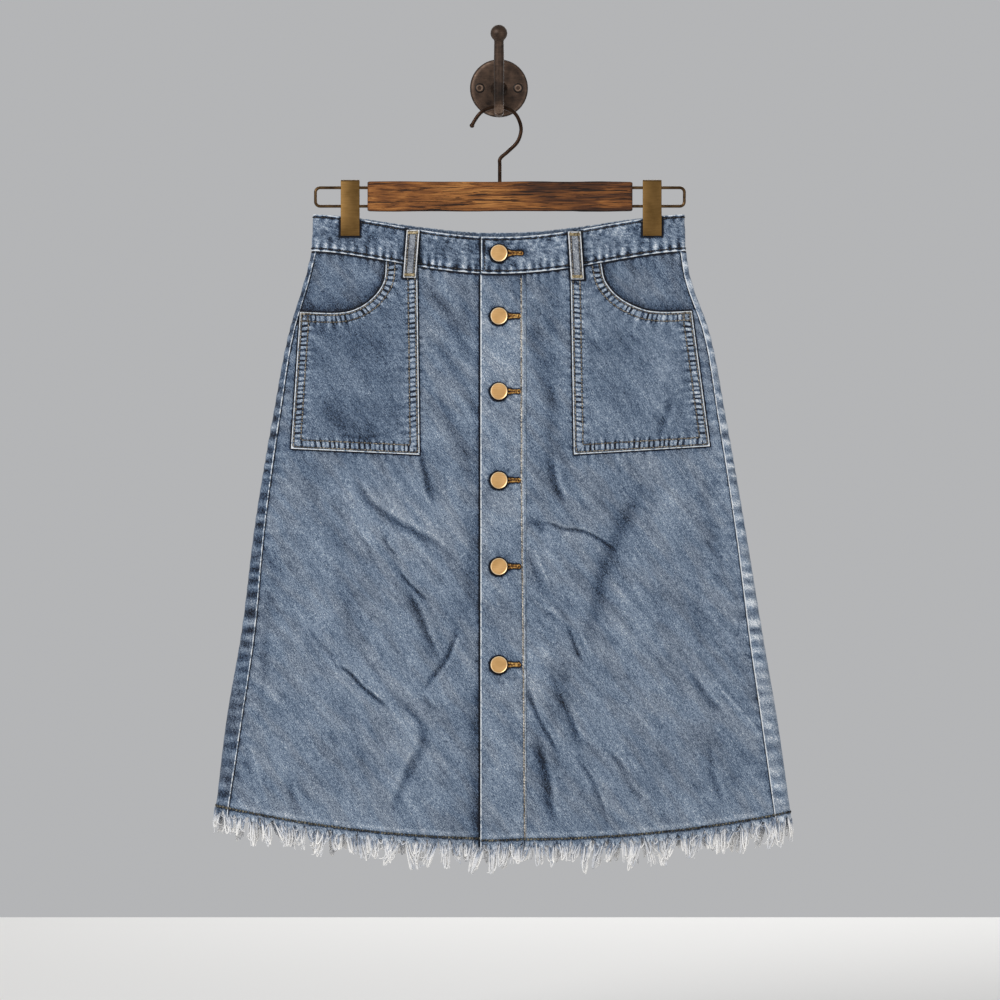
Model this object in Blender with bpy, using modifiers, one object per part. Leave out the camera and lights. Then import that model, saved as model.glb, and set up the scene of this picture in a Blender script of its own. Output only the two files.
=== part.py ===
"""Denim skirt hanging from a clip hanger on a wall hook.

The frame's origin is the middle of the wall plate's back face, on the wall. +X is to the viewer's right, +Z is up,
and the wall is the plane Y = 0, so the whole part lies at negative Y with its front towards -Y.
"Left" and "right" in the names of pieces are the wearer's, so the skirt's right side is at negative X.

Sizes below are millimetres. Meshes are made in metres: every point is multiplied by MM on its way into Blender.
"""

import math

import bmesh
import bpy
import numpy as np
from mathutils import Matrix, Vector

MM = 0.001

# ---------------------------------------------------------------- driving sizes
PARTING = 0.3  # between neighbouring pieces
DENIM = 1.2  # one layer of cloth
PLACKET_WALL = 2.2
WAISTBAND_WALL = 2.5
BELT_LOOP_WALL = 2.0
PROUD = 0.5  # the waistband and the placket stand this far in front of the panels

MIDDLE_Y = -32.0  # the hanging skirt's middle plane
WAIST_SEAM_Z = -161.5  # at the sides
WAIST_SAG_FRONT, WAIST_SAG_BACK = 22.4, 17.5  # how far the waist hangs down between the two clips
WAISTBAND_HEIGHT = 35.5
WAISTBAND_TOP_NARROWER = 1.3
HEM_Z = -711.5  # the cloth's raw edge, at the sides
HEM_TILT = 3.2  # the hem is this much lower on the viewer's right and higher on the left
HEM_SAG_FRONT, HEM_SAG_BACK = 28.5, 26.0

# Drop below the waist seam, the edge on the viewer's left and right, and how far in from each the side seam lies.
SIDE_ROWS = np.array(
    [
        (0, 183.0, 182.8, 4.6, 5.6),
        (25, 189.0, 187.0, 4.6, 5.6),
        (75, 204.0, 204.5, 5.0, 5.8),
        (160, 220.5, 221.5, 7.0, 7.6),
        (265, 238.0, 240.0, 10.0, 9.6),
        (380, 252.5, 259.0, 13.2, 13.5),
        (455, 265.5, 272.0, 15.0, 15.5),
        (550, 277.0, 285.5, 12.2, 15.5),
    ]
)
HEM_DROP = WAIST_SEAM_Z - HEM_Z

# Half depth of the pinched waist against the share of its half width: open in the middle, shut at the clips.
WAIST_REACH = np.array([0.0, 0.33, 0.56, 0.70, 0.76, 0.86, 1.0])
WAIST_HALF_DEPTH = np.array([10.0, 8.6, 5.2, 2.9, 2.3, 2.3, 3.2])
PINCH_FADE = 0.32  # share of the length over which the pinch dies away
BODY_HALF_DEPTH_TOP, BODY_HALF_DEPTH_HEM = 10.0, 26.0
FOLD_RADIUS_TOP, FOLD_RADIUS_HEM = 3.2, 7.0  # of the side folds

PLACKET_X = (-18.0, 26.5)
UNDERLAP_END_X = 24.0
UNDERLAP_EASE_X = (-46.0, -20.0)  # the right front sinks behind the placket between these
PLACKET_HEM_DROP = 2.0

# Soft folds: start x and z, end x and z, half width, height (below zero for a valley).
FRONT_FOLDS = (
    (-192, -372, -158, -470, 17, 2.2),
    (-146, -382, -84, -452, 15, 2.0),
    (-106, -452, -66, -540, 14, -2.0),
    (-174, -560, -108, -604, 13, 2.4),
    (-104, -606, -72, -660, 14, 2.2),
    (-44, -522, -74, -594, 13, -2.0),
    (56, -434, 120, -456, 13, 2.0),
    (132, -388, 98, -492, 17, -2.2),
    (30, -562, 60, -640, 13, 2.2),
    (66, -590, 98, -668, 14, -2.0),
    (178, -566, 246, -644, 17, 2.2),
)
BACK_FOLDS = (
    (-170, -330, -120, -450, 18, 2.0),
    (-60, -420, -20, -560, 17, -2.0),
    (150, -350, 105, -470, 18, 2.2),
    (40, -470, 85, -600, 17, 2.0),
    (-190, -560, -120, -640, 16, 2.0),
    (180, -560, 130, -660, 17, -2.0),
    (-30, -600, -50, -690, 15, 1.8),
)

# Each pocket: the scooped opening from the waist seam to the side, then the corners of the other three sides.
POCKETS = {
    "pocket_right": {
        "opening": ((-110.2, -171.5), (-112.3, -191), (-123, -207), (-139.6, -218), (-159, -222), (-194.2, -221)),
        "inner_top": (-80.0, -176.0),
        "inner_bottom": (-77.5, -360.4),
        "outer_bottom": (-203.0, -354.4),
    },
    "pocket_left": {
        "opening": ((99.7, -173.5), (103.8, -191), (117.5, -207), (139.4, -218), (160, -221), (188.1, -220)),
        "inner_top": (70.0, -179.0),
        "inner_bottom": (73.1, -360.1),
        "outer_bottom": (205.9, -352.0),
    },
}
POCKET_LIFT = 0.4
POCKET_COLUMNS, POCKET_ROWS = 14, 7
POCKET_CORNER_SHARE = 0.5  # the inner bottom corner faces the middle of the opening

BELT_LOOP_WIDTH = 12.2
# Name, side, x at the top and at the bottom, top below the waistband's edge, overhang below the waist seam.
BELT_LOOPS = (
    ("belt_loop_front_right", "front", -83.8, -87.4, 1.2, 12.5),
    ("belt_loop_front_left", "front", 73.6, 76.6, 1.2, 12.5),
    ("belt_loop_back_right", "back", -100.0, -102.0, 1.2, 12.5),
    ("belt_loop_back_centre", "back", 0.0, 0.0, 1.2, 12.5),
    ("belt_loop_back_left", "back", 100.0, 102.0, 1.2, 12.5),
)

BUTTON_RADIUS = 8.5
BUTTON_X = 0.0
BUTTON_Z = (-163.8, -225.2, -298.8, -385.4, -469.4, -564.9)
BUTTON_CAP, BUTTON_LIFT = 2.9, 0.45
SHANK_RADIUS, EYELET_RADIUS = 1.9, 2.5

FRINGE_STRIP = 3.5
FRINGE_PITCH, FRINGE_LOCK_SHARE = 11.7, 0.8
FRINGE_LENGTH = 24.0

HANGER_BAR = {"x": (-128.4, 130.4), "z": (-122.4, -93.6), "depth": 10.0}
WIRE_RADIUS = 1.1
WIRE_Z = (-117.5, -99.4)
WIRE_END_X = (-179.3, 181.2)
WIRE_CORNER = 4.5
CLIP_X = {"hanger_clip_right": -145.4, "hanger_clip_left": 149.7}
CLIP_HALF_WIDTH, CLIP_WALL = 9.2, 1.2
CLIP_TOP_Z, CLIP_BOTTOM_Z = -91.7, -146.6
CLIP_HALF_GAP = WIRE_RADIUS + PARTING
HOOK_RADIUS = 1.85
SOCKET_DEPTH, SOCKET_SPARE = 7.0, 0.35

PLATE_RADIUS, PLATE_THICKNESS = 28.5, 5.0
PRONG_BALL_RADIUS = 8.25
SCREW_X, SCREW_HEAD_RADIUS, SCREW_SHANK_RADIUS = 18.8, 4.4, 2.0

ROWS = 21
V_ROWS = np.linspace(0.0, 1.0, ROWS)


# ---------------------------------------------------------------- helpers
def read_table(where, places, values):
    """Reads a column between its rows, on a cubic through every row with the row's mean slope."""
    where = np.asarray(where, float)
    slopes = np.gradient(values, places)
    i = np.clip(np.searchsorted(places, where) - 1, 0, len(places) - 2)
    step = places[i + 1] - places[i]
    t = (where - places[i]) / step
    return (
        values[i] * (1 + 2 * t) * (1 - t) ** 2
        + slopes[i] * step * t * (1 - t) ** 2
        + values[i + 1] * t**2 * (3 - 2 * t)
        + slopes[i + 1] * step * t**2 * (t - 1)
    )


def ease(t):
    """0 before t = 0 and 1 after t = 1, with a smooth rise between."""
    t = np.clip(t, 0.0, 1.0)
    return t * t * (3 - 2 * t)


def curve_through(points, per_span):
    """A smooth curve through the points, as a Catmull-Rom spline with per_span steps between each pair."""
    p = np.asarray(points, float)
    p = np.vstack([2 * p[0] - p[1], p, 2 * p[-1] - p[-2]])
    t = np.linspace(0, 1, per_span, endpoint=False)[:, None]
    spans = [
        0.5 * (2 * b + (c - a) * t + (2 * a - 5 * b + 4 * c - d) * t**2 + (3 * b - a - 3 * c + d) * t**3)
        for a, b, c, d in zip(p, p[1:], p[2:], p[3:])
    ]
    return np.vstack(spans + [p[-2:-1]])


def along(points, shares):
    """Points at shares of a polyline's length."""
    points = np.asarray(points, float)
    steps = np.linalg.norm(np.diff(points, axis=0), axis=1)
    length = np.concatenate([[0.0], np.cumsum(steps)])
    return np.stack([np.interp(np.asarray(shares) * length[-1], length, c) for c in points.T], axis=-1)


# ---------------------------------------------------------------- the garment's form
def sides(v):
    """The left and right edges, as distances from x = 0, at a share v of the way from waist to hem."""
    drop = np.asarray(v) * HEM_DROP
    places = SIDE_ROWS[:, 0]
    return read_table(drop, places, SIDE_ROWS[:, 1]), read_table(drop, places, SIDE_ROWS[:, 2])


def seam_x(v):
    """The x of the side seams on the viewer's left and right."""
    drop = np.asarray(v) * HEM_DROP
    left, right = sides(v)
    places = SIDE_ROWS[:, 0]
    return read_table(drop, places, SIDE_ROWS[:, 3]) - left, right - read_table(drop, places, SIDE_ROWS[:, 4])


def fold_radius(v):
    return FOLD_RADIUS_TOP + (FOLD_RADIUS_HEM - FOLD_RADIUS_TOP) * np.asarray(v)


def half_depth(x, v):
    """Half the tube's depth: the pinched waist, easing into a lens, with a round fold at each side."""
    left, right = sides(v)
    middle, half, radius = (right - left) / 2, (right + left) / 2, fold_radius(v)
    out = np.abs(x - middle)
    reach = np.minimum(out / (half - radius), 1.0)
    deepening = np.clip(v, 0.0, 1.0) ** 0.8
    full = BODY_HALF_DEPTH_TOP + (BODY_HALF_DEPTH_HEM - BODY_HALF_DEPTH_TOP) * deepening
    lens = radius + (full - radius) * (1 - reach**2) ** 1.3
    pinch = read_table(reach, WAIST_REACH, WAIST_HALF_DEPTH)
    depth = pinch + (lens - pinch) * ease(np.asarray(v) / PINCH_FADE)
    past = np.maximum(out - (half - radius), 0.0) / radius
    return depth * np.sqrt(np.maximum(1 - past**2, 0.0))


def height(x, v, side):
    """z of a point of the cloth: the rows hang in a curve between the sides."""
    left, right = sides(v)
    share = np.clip((x - (right - left) / 2) / ((right + left) / 2), -1.0, 1.0)
    waist_sag, hem_sag = (WAIST_SAG_FRONT, HEM_SAG_FRONT) if side == "front" else (WAIST_SAG_BACK, HEM_SAG_BACK)
    waist = WAIST_SEAM_Z - waist_sag * np.cos(share * math.pi / 2) ** 1.6
    hem = HEM_Z - HEM_TILT * share - hem_sag * (1 - np.abs(share) ** 2.1)
    return waist + (hem - waist) * v


def relief(x, z, folds):
    """Height of the soft folds: each is a bell across a straight line, tapered at both ends."""
    total = np.zeros(np.broadcast(x, z).shape)
    for x0, z0, x1, z1, half_width, size in folds:
        dx, dz = x1 - x0, z1 - z0
        length = math.hypot(dx, dz)
        t = ((x - x0) * dx + (z - z0) * dz) / length**2
        across = ((x - x0) * dz - (z - z0) * dx) / length
        taper = ease((t + 0.15) / 0.4) * ease((1.15 - t) / 0.4)
        total = total + size * taper * np.exp(-((across / half_width) ** 2))
    return total


def cloth_point(x, v, side, lift=0.0):
    """The panel's outer face at x and v, moved out by lift."""
    x, v = np.broadcast_arrays(np.asarray(x, float), np.asarray(v, float))
    z = height(x, v, side)
    depth = half_depth(x, v)
    if side == "front":
        y = MIDDLE_Y - depth - relief(x, z, FRONT_FOLDS) - lift
    else:
        y = MIDDLE_Y + depth + relief(x, z, BACK_FOLDS) + lift
    return np.stack([x, y, z], axis=-1)


def v_at(x, z, side):
    """The share of the way down at which the cloth passes through x and z, by repeated correction."""
    v = np.full(np.broadcast(x, z).shape, 0.3)
    for _ in range(12):
        v = v + (height(x, v, side) - z) / HEM_DROP
    return v


def front_point(x, z, lift):
    """A point of the front's outer face given in the flat front view."""
    x, z = np.asarray(x, float), np.asarray(z, float)
    return cloth_point(x, v_at(x, z, "front"), "front", lift)


def waistband_point(x, level, side, sink=0.0):
    """A point of the waistband's outer face: level is 0 at the seam and 1 at the top edge."""
    x = np.asarray(x, float)
    left, right = sides(0.0)
    share = 1 - (WAISTBAND_TOP_NARROWER / right) * level
    depth = half_depth(x, 0.0) + PROUD - sink
    seam = height(x, 0.0, side) + PARTING
    y = MIDDLE_Y - depth if side == "front" else MIDDLE_Y + depth
    return np.stack([x * share, y, seam + WAISTBAND_HEIGHT * level], axis=-1)


# ---------------------------------------------------------------- Blender objects
def clear_scene():
    for thing in list(bpy.data.objects):
        bpy.data.objects.remove(thing, do_unlink=True)


def new_collection(name):
    collection = bpy.data.collections.new(name)
    bpy.context.scene.collection.children.link(collection)
    return collection


def new_material(name, colour, roughness, metallic=0.0):
    material = bpy.data.materials.new(name)
    material.use_nodes = True
    shader = material.node_tree.nodes["Principled BSDF"]
    shader.inputs["Base Color"].default_value = (*colour, 1.0)
    shader.inputs["Roughness"].default_value = roughness
    shader.inputs["Metallic"].default_value = metallic
    return material


def place(name, data, material, collection):
    thing = bpy.data.objects.new(name, data)
    collection.objects.link(thing)
    if material:
        data.materials.append(material)
    return thing


def grid_mesh(name, points):
    """An open surface through a grid of points in millimetres: rows run down, columns to the viewer's right."""
    rows, columns = points.shape[:2]
    index = np.arange(rows * columns).reshape(rows, columns)
    corners = (index[:-1, :-1], index[1:, :-1], index[1:, 1:], index[:-1, 1:])
    faces = np.stack([c.ravel() for c in corners], axis=-1)
    mesh = bpy.data.meshes.new(name)
    mesh.from_pydata((points.reshape(-1, 3) * MM).tolist(), [], faces.tolist())
    return mesh


def cloth_wall(name, points, thickness, material, collection):
    """A cloth wall whose outer face is the grid, with Solidify for its thickness."""
    thing = place(name, grid_mesh(name, points), material, collection)
    wall = thing.modifiers.new("wall", "SOLIDIFY")
    wall.thickness = thickness * MM
    wall.offset = -1.0
    wall.use_even_offset = True
    return thing


def turned(name, profile, steps, material, collection):
    """A turned piece: a profile of radius and height, from the top on the axis down its outer side."""
    mesh = bpy.data.meshes.new(name)
    points = [(radius * MM, 0.0, level * MM) for radius, level in profile]
    mesh.from_pydata(points, [(i, i + 1) for i in range(len(points) - 1)], [])
    thing = place(name, mesh, material, collection)
    screw = thing.modifiers.new("turn", "SCREW")
    screw.steps = screw.render_steps = steps
    screw.use_merge_vertices = True
    screw.merge_threshold = 0.00001
    screw.use_smooth_shade = True
    return thing


def wire(name, points, radii, sides_shown, material, collection):
    """A round wire or rod through points in millimetres, with a radius at each."""
    curve = bpy.data.curves.new(name, "CURVE")
    curve.dimensions = "3D"
    curve.bevel_depth = MM
    curve.bevel_resolution = sides_shown // 2 - 2
    curve.use_fill_caps = True
    spline = curve.splines.new("POLY")
    spline.points.add(len(points) - 1)
    for point, place_mm, radius in zip(spline.points, points, np.broadcast_to(radii, len(points))):
        point.co = (*(np.asarray(place_mm) * MM), 1.0)
        point.radius = float(radius)
    return place(name, curve, material, collection)


def as_mesh(thing, collection):
    """The curve object remade as a closed mesh object of the same name."""
    depsgraph = bpy.context.evaluated_depsgraph_get()
    mesh = bpy.data.meshes.new_from_object(thing.evaluated_get(depsgraph))
    edit = bmesh.new()
    edit.from_mesh(mesh)
    bmesh.ops.remove_doubles(edit, verts=edit.verts, dist=0.00001)
    edit.to_mesh(mesh)
    edit.free()
    name, matrix = thing.name, thing.matrix_world.copy()
    bpy.data.objects.remove(thing, do_unlink=True)
    made = place(name, mesh, None, collection)
    made.matrix_world = matrix
    return made


def turn_axis_to(thing, origin, direction):
    """Stands a turned piece at origin, in millimetres, with its axis along direction."""
    rotation = Vector((0, 0, 1)).rotation_difference(Vector(direction)).to_matrix().to_4x4()
    thing.matrix_world = Matrix.Translation(Vector(np.asarray(origin) * MM)) @ rotation


def cylinder_cutter(name, radius, depth, cutters):
    mesh = bpy.data.meshes.new(name)
    edit = bmesh.new()
    bmesh.ops.create_cone(
        edit, cap_ends=True, segments=12, radius1=radius * MM, radius2=radius * MM, depth=depth * MM
    )
    edit.to_mesh(mesh)
    edit.free()
    return as_cutter(place(name, mesh, None, cutters))


def as_cutter(thing):
    thing.hide_render = True
    thing.display_type = "WIRE"
    return thing


def combine(thing, other, operation):
    modifier = thing.modifiers.new(other.name, "BOOLEAN")
    modifier.operation = operation
    modifier.object = other
    modifier.solver = "EXACT"


# ---------------------------------------------------------------- cloth pieces
def underlap_sink(x, depth):
    """How far the right front lies behind the outer face as it passes under the placket."""
    start, end = UNDERLAP_EASE_X
    return depth * ease((np.asarray(x) - start) / (end - start))


def build_fronts(denim, skirt):
    v = V_ROWS[:, None]
    left_seam, right_seam = seam_x(v)
    overlap = np.array([PLACKET_X[0], -9.0, 0.0, 9.0, 18.0, UNDERLAP_END_X])
    easing = np.array([UNDERLAP_EASE_X[0], -37.0, -28.0])
    outer_part = left_seam + (UNDERLAP_EASE_X[0] - left_seam) * np.linspace(0, 1, 13)[None, :-1]
    x = np.hstack([outer_part, np.broadcast_to(np.concatenate([easing, overlap]), (ROWS, 9))])
    points = cloth_point(x, v, "front")
    points[..., 1] += underlap_sink(x, PLACKET_WALL + PARTING - PROUD)
    cloth_wall("front_right_panel", points, DENIM, denim, skirt)

    inner_edge = PLACKET_X[1] + PARTING
    x = inner_edge + (right_seam - PARTING - inner_edge) * np.linspace(0, 1, 15)[None, :]
    cloth_wall("front_left_panel", cloth_point(x, v, "front"), DENIM, denim, skirt)


def build_placket(denim, skirt):
    x = np.concatenate([[PLACKET_X[0]], [-9.0, 0.0, 9.0, 18.0], [PLACKET_X[1]]])[None, :]
    points = cloth_point(x, V_ROWS[:, None], "front", PROUD)
    free_edge = 1 - (x - PLACKET_X[0]) / (PLACKET_X[1] - PLACKET_X[0])
    points[..., 2] -= PLACKET_HEM_DROP * free_edge * V_ROWS[:, None]
    return cloth_wall("placket", points, PLACKET_WALL, denim, skirt)


def side_fold(v, hand, steps):
    """Points round one side fold from the front to the back; hand is 1 on the viewer's right and -1 on the left."""
    left, right = sides(v)
    radius = fold_radius(v)
    middle_of_fold = (right if hand > 0 else left) - radius
    turn = np.linspace(-math.pi / 2, math.pi / 2, steps)[None, :]
    x = hand * (middle_of_fold + radius * np.cos(turn))
    y = MIDDLE_Y + radius * np.sin(turn)
    front, back = height(x, v, "front"), height(x, v, "back")
    z = np.where(turn < 0, front, back)
    return np.stack([x, y, np.broadcast_to(z, x.shape)], axis=-1)


def back_row(v, steps):
    """The back panel's path: front-left seam, left fold, across the back, right fold, front-right seam."""
    left_seam, right_seam = seam_x(v)
    left_fold, right_fold = side_fold(v, -1, 7), side_fold(v, 1, 7)
    seam_right = cloth_point(right_seam, v, "front")
    seam_left = cloth_point(left_seam - PARTING, v, "front")
    start, end = right_fold[:, -1:, 0], left_fold[:, -1:, 0]
    x = start + (end - start) * np.linspace(0, 1, steps + 2)[None, 1:-1]
    across = cloth_point(x, v, "back")
    return np.concatenate([seam_right, right_fold, across, left_fold[:, ::-1], seam_left], axis=1)


def build_back(denim, skirt):
    cloth_wall("back_panel", back_row(V_ROWS[:, None], 14), DENIM, denim, skirt)


def waistband_path(level):
    """Once round the waist: from the buttonhole end, to the right, round the back, to the button end underneath."""
    overlap = np.array([PLACKET_X[0] + 0.5, -9.0, 0.0, 9.0, 18.0, UNDERLAP_END_X])
    left, right = sides(0.0)
    radius = FOLD_RADIUS_TOP + PROUD
    out_right = np.concatenate([overlap, [40, 56, 72, 88, 102, 116, 129, 141, 153, 165], [right - radius]])
    out_left = np.concatenate([[radius - left], -np.array([165, 153, 141, 129, 116, 102, 88, 72, 58])])
    easing = np.array([UNDERLAP_EASE_X[0], -37.0, -28.0])
    across = np.linspace(right - radius, radius - left, 26)[1:-1]
    turn = np.linspace(-math.pi / 2, math.pi / 2, 7)[1:-1]
    first = waistband_point(out_right, level, "front")
    second = waistband_point(across, level, "back")
    x = np.concatenate([out_left, easing, overlap])
    third = waistband_point(x, level, "front")
    third[:, 1] += underlap_sink(x, WAISTBAND_WALL + PARTING)
    narrower = 1 - (WAISTBAND_TOP_NARROWER / right) * level
    folds = []
    for hand, edge in ((1, right), (-1, left)):
        x = hand * (edge - radius + radius * np.cos(turn)) * narrower
        z = np.full_like(x, WAIST_SEAM_Z + PARTING + WAISTBAND_HEIGHT * level)
        folds.append(np.stack([x, MIDDLE_Y + radius * np.sin(turn), z], axis=-1))
    return np.vstack([first, folds[0], second, folds[1][::-1], third])


def build_waistband(denim, skirt):
    points = np.stack([waistband_path(level) for level in (1.0, 0.5, 0.0)])
    return cloth_wall("waistband", points, WAISTBAND_WALL, denim, skirt)


def pocket_outline(pocket):
    """The opening edge and the opposite edge as two curves with matching ends, each read by share of its length."""
    opening = curve_through(pocket["opening"], 8)
    to_corner = np.array([pocket["inner_top"], pocket["inner_bottom"]])
    past_corner = np.array([pocket["inner_bottom"], pocket["outer_bottom"]])
    return opening, to_corner, past_corner


def build_pockets(denim, skirt):
    shares = np.linspace(0, 1, POCKET_COLUMNS + 1)
    before = shares <= POCKET_CORNER_SHARE
    down = np.linspace(0, 1, POCKET_ROWS + 1)[:, None, None]
    for name, pocket in POCKETS.items():
        opening, to_corner, past_corner = pocket_outline(pocket)
        top = along(opening, shares)
        bottom = np.vstack(
            [
                along(to_corner, shares[before] / POCKET_CORNER_SHARE),
                along(past_corner, (shares[~before] - POCKET_CORNER_SHARE) / (1 - POCKET_CORNER_SHARE)),
            ]
        )
        flat = top + (bottom - top) * down
        points = front_point(flat[..., 0], flat[..., 1], POCKET_LIFT + DENIM)
        if flat[0, -1, 0] < flat[0, 0, 0]:
            points = points[:, ::-1]
        cloth_wall(name, points, DENIM, denim, skirt)


def build_belt_loops(denim, skirt):
    """Each loop is tacked at both ends and stands a little off the waistband between."""
    shares = np.array([0.0, 0.1, 0.2, 0.5, 0.8, 0.9, 1.0])
    for name, side, x_top, x_bottom, below_edge, overhang in BELT_LOOPS:
        top = float(waistband_point(x_top, 1.0, side)[2]) - below_edge
        bottom = float(height(np.array(x_bottom), 0.0, side)) - overhang
        lift_bottom = POCKET_LIFT + DENIM + 0.4 if side == "front" else PARTING + 0.1
        lift_ends = PROUD + PARTING + 0.1 + (lift_bottom - PROUD - 0.4) * shares
        lift = lift_ends + 2.2 * ease(shares / 0.2) * ease((1 - shares) / 0.2)
        x_middle = x_top + (x_bottom - x_top) * shares
        z = top + (bottom - top) * shares
        half = BELT_LOOP_WIDTH / 2
        x = x_middle[:, None] + np.array([-half, 0.0, half])[None, :]
        depth = half_depth(x, 0.0) + lift[:, None] + BELT_LOOP_WALL
        y = MIDDLE_Y - depth if side == "front" else MIDDLE_Y + depth
        points = np.stack([x, y, np.broadcast_to(z[:, None], x.shape)], axis=-1)
        if side == "back":
            points = points[:, ::-1]
        cloth_wall(name, points, BELT_LOOP_WALL, denim, skirt)


def outward_normal(z, lift):
    """The front's outer point on the button line and its outward direction there."""
    here = front_point(BUTTON_X, z, lift)
    right = front_point(BUTTON_X + 4.0, z, lift) - here
    up = front_point(BUTTON_X, z + 4.0, lift) - here
    normal = np.cross(right, up)
    return here, normal / np.linalg.norm(normal)


def build_buttons(brass, skirt, cutters, placket, waistband):
    """A domed cap with a shank that passes the buttonhole to the layer underneath."""
    for number, z in enumerate(BUTTON_Z, start=1):
        on_band = number == 1
        wall = WAISTBAND_WALL if on_band else PLACKET_WALL
        if on_band:
            here = waistband_point(np.array(BUTTON_X), 0.55, "front")
            here[2] = z
            normal = np.array([0.0, -1.0, 0.0])
        else:
            here, normal = outward_normal(z, PROUD)
        r = BUTTON_RADIUS
        back = BUTTON_LIFT
        profile = (
            (0.0, back + BUTTON_CAP),
            (r * 0.55, back + BUTTON_CAP - 0.15),
            (r * 0.9, back + BUTTON_CAP - 0.6),
            (r, back + BUTTON_CAP - 1.5),
            (r * 0.94, back + 0.5),
            (r * 0.8, back),
            (SHANK_RADIUS, back),
            (SHANK_RADIUS, -wall),
            (0.0, -wall),
        )
        button = turned(f"button_{number}", profile, 14, brass, skirt)
        turn_axis_to(button, here, normal)
        cutter = cylinder_cutter(f"eyelet_{number}", EYELET_RADIUS, 3.0 * wall, cutters)
        turn_axis_to(cutter, here - normal * wall / 2, normal)
        combine(waistband if on_band else placket, cutter, "DIFFERENCE")


# ---------------------------------------------------------------- frayed hem
def hem_edge(x, side, lift=0.0):
    return cloth_point(x, 1.0, side, lift)


def even_path(points, pitch, share):
    """Stations along an edge: a whole number of pitches, each a wide step for a lock and a narrow one between."""
    steps = np.linalg.norm(np.diff(points, axis=0), axis=1)
    count = int(round(steps.sum() / pitch))
    gap = (1 - share) / 2
    marks = (np.arange(count)[:, None] + np.array([gap, 1 - gap])[None, :]).ravel() / count
    return along(points, np.concatenate([[0.0], marks, [1.0]])), count


def build_fringe(name, edge, seed, thread, skirt):
    """A narrow strip just below the raw edge, with a four-sided lock pulled from each wide step of its underside."""
    stations, count = even_path(edge, FRINGE_PITCH, FRINGE_LOCK_SHARE)
    top = stations - np.array([0, 0, PARTING])
    strip = np.stack([top, top - np.array([0, 0, FRINGE_STRIP])])
    thing = cloth_wall(name, strip, DENIM, thread, skirt)
    depsgraph = bpy.context.evaluated_depsgraph_get()
    mesh = bpy.data.meshes.new_from_object(thing.evaluated_get(depsgraph))
    edit = bmesh.new()
    edit.from_mesh(mesh)
    steps = np.diff(stations[:, :2], axis=0)
    middles = (stations[1:, :2] + stations[:-1, :2]) / 2
    wide = [i for i in range(len(steps)) if i % 2 == 1]
    below = [f for f in edit.faces if f.normal.z < -0.7]
    chosen = {}
    for face in below:
        centre = np.array(face.calc_center_median()[:2]) / MM
        nearest = int(np.argmin(np.linalg.norm(middles - centre, axis=1)))
        if nearest in wide:
            chosen[face] = nearest
    spread = np.random.default_rng(seed)
    for face, station in sorted(chosen.items(), key=lambda pair: pair[1]):
        along_edge = Vector((*steps[station], 0.0)).normalized()
        outward = Vector((along_edge.y, -along_edge.x, 0.0))
        length = FRINGE_LENGTH * spread.uniform(0.82, 1.12)
        lean, bow = spread.uniform(-0.16, 0.16), spread.uniform(-0.03, 0.05)
        for share, width in ((0.5, 0.78), (0.5, 0.5)):
            face = bmesh.ops.extrude_discrete_faces(edit, faces=[face])["faces"][0]
            centre = face.calc_center_median()
            shift = (along_edge * lean + outward * bow + Vector((0, 0, -1))) * length * share * MM
            for vertex in face.verts:
                offset = vertex.co - centre
                offset -= along_edge * offset.dot(along_edge) * (1 - width)
                vertex.co = centre + offset + shift
                vertex.co.z = centre.z + shift.z
            lean = lean * -0.6
    edit.normal_update()
    edit.to_mesh(mesh)
    edit.free()
    bpy.data.objects.remove(thing, do_unlink=True)
    place(name, mesh, None, skirt)
    return count


def build_fringes(thread, skirt):
    one = np.array([1.0])[:, None]
    left_seam, right_seam = (float(x[0, 0]) for x in seam_x(one))
    x = np.linspace(left_seam, PLACKET_X[0] - PARTING - 0.2, 60)
    right_edge = hem_edge(x, "front")
    right_edge[:, 1] += underlap_sink(x, PLACKET_WALL + PARTING - PROUD)
    count = build_fringe("fringe_front_right", right_edge, 3, thread, skirt)
    x = np.linspace(PLACKET_X[0], right_seam - PARTING, 80)
    left_edge = hem_edge(x, "front", PROUD)
    left_edge[:, 1] += PROUD * ease((x - PLACKET_X[1]) / 10.0)
    free_edge = np.clip(1 - (x - PLACKET_X[0]) / (PLACKET_X[1] - PLACKET_X[0]), 0, 1)
    left_edge[:, 2] -= PLACKET_HEM_DROP * free_edge
    count += build_fringe("fringe_front_left", left_edge, 5, thread, skirt)
    count += build_fringe("fringe_back", back_row(one, 60)[0], 7, thread, skirt)
    return count


# ---------------------------------------------------------------- hanger
def hook_path():
    """The hanger's wire hook, in x and z, from the socket in the bar to the free tip."""
    return curve_through(
        (
            (0.8, HANGER_BAR["z"][1] - SOCKET_DEPTH + 1.0),
            (0.8, -78.0),
            (1.4, -70.8),
            (9.0, -63.8),
            (18.4, -54.0),
            (21.6, -41.0),
            (16.4, -27.6),
            (6.0, -21.2),
            (-2.0, -20.2),
            (-10.3, -21.9),
            (-17.8, -26.0),
            (-23.4, -33.2),
            (-27.5, -40.8),
        ),
        2,
    )


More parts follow.
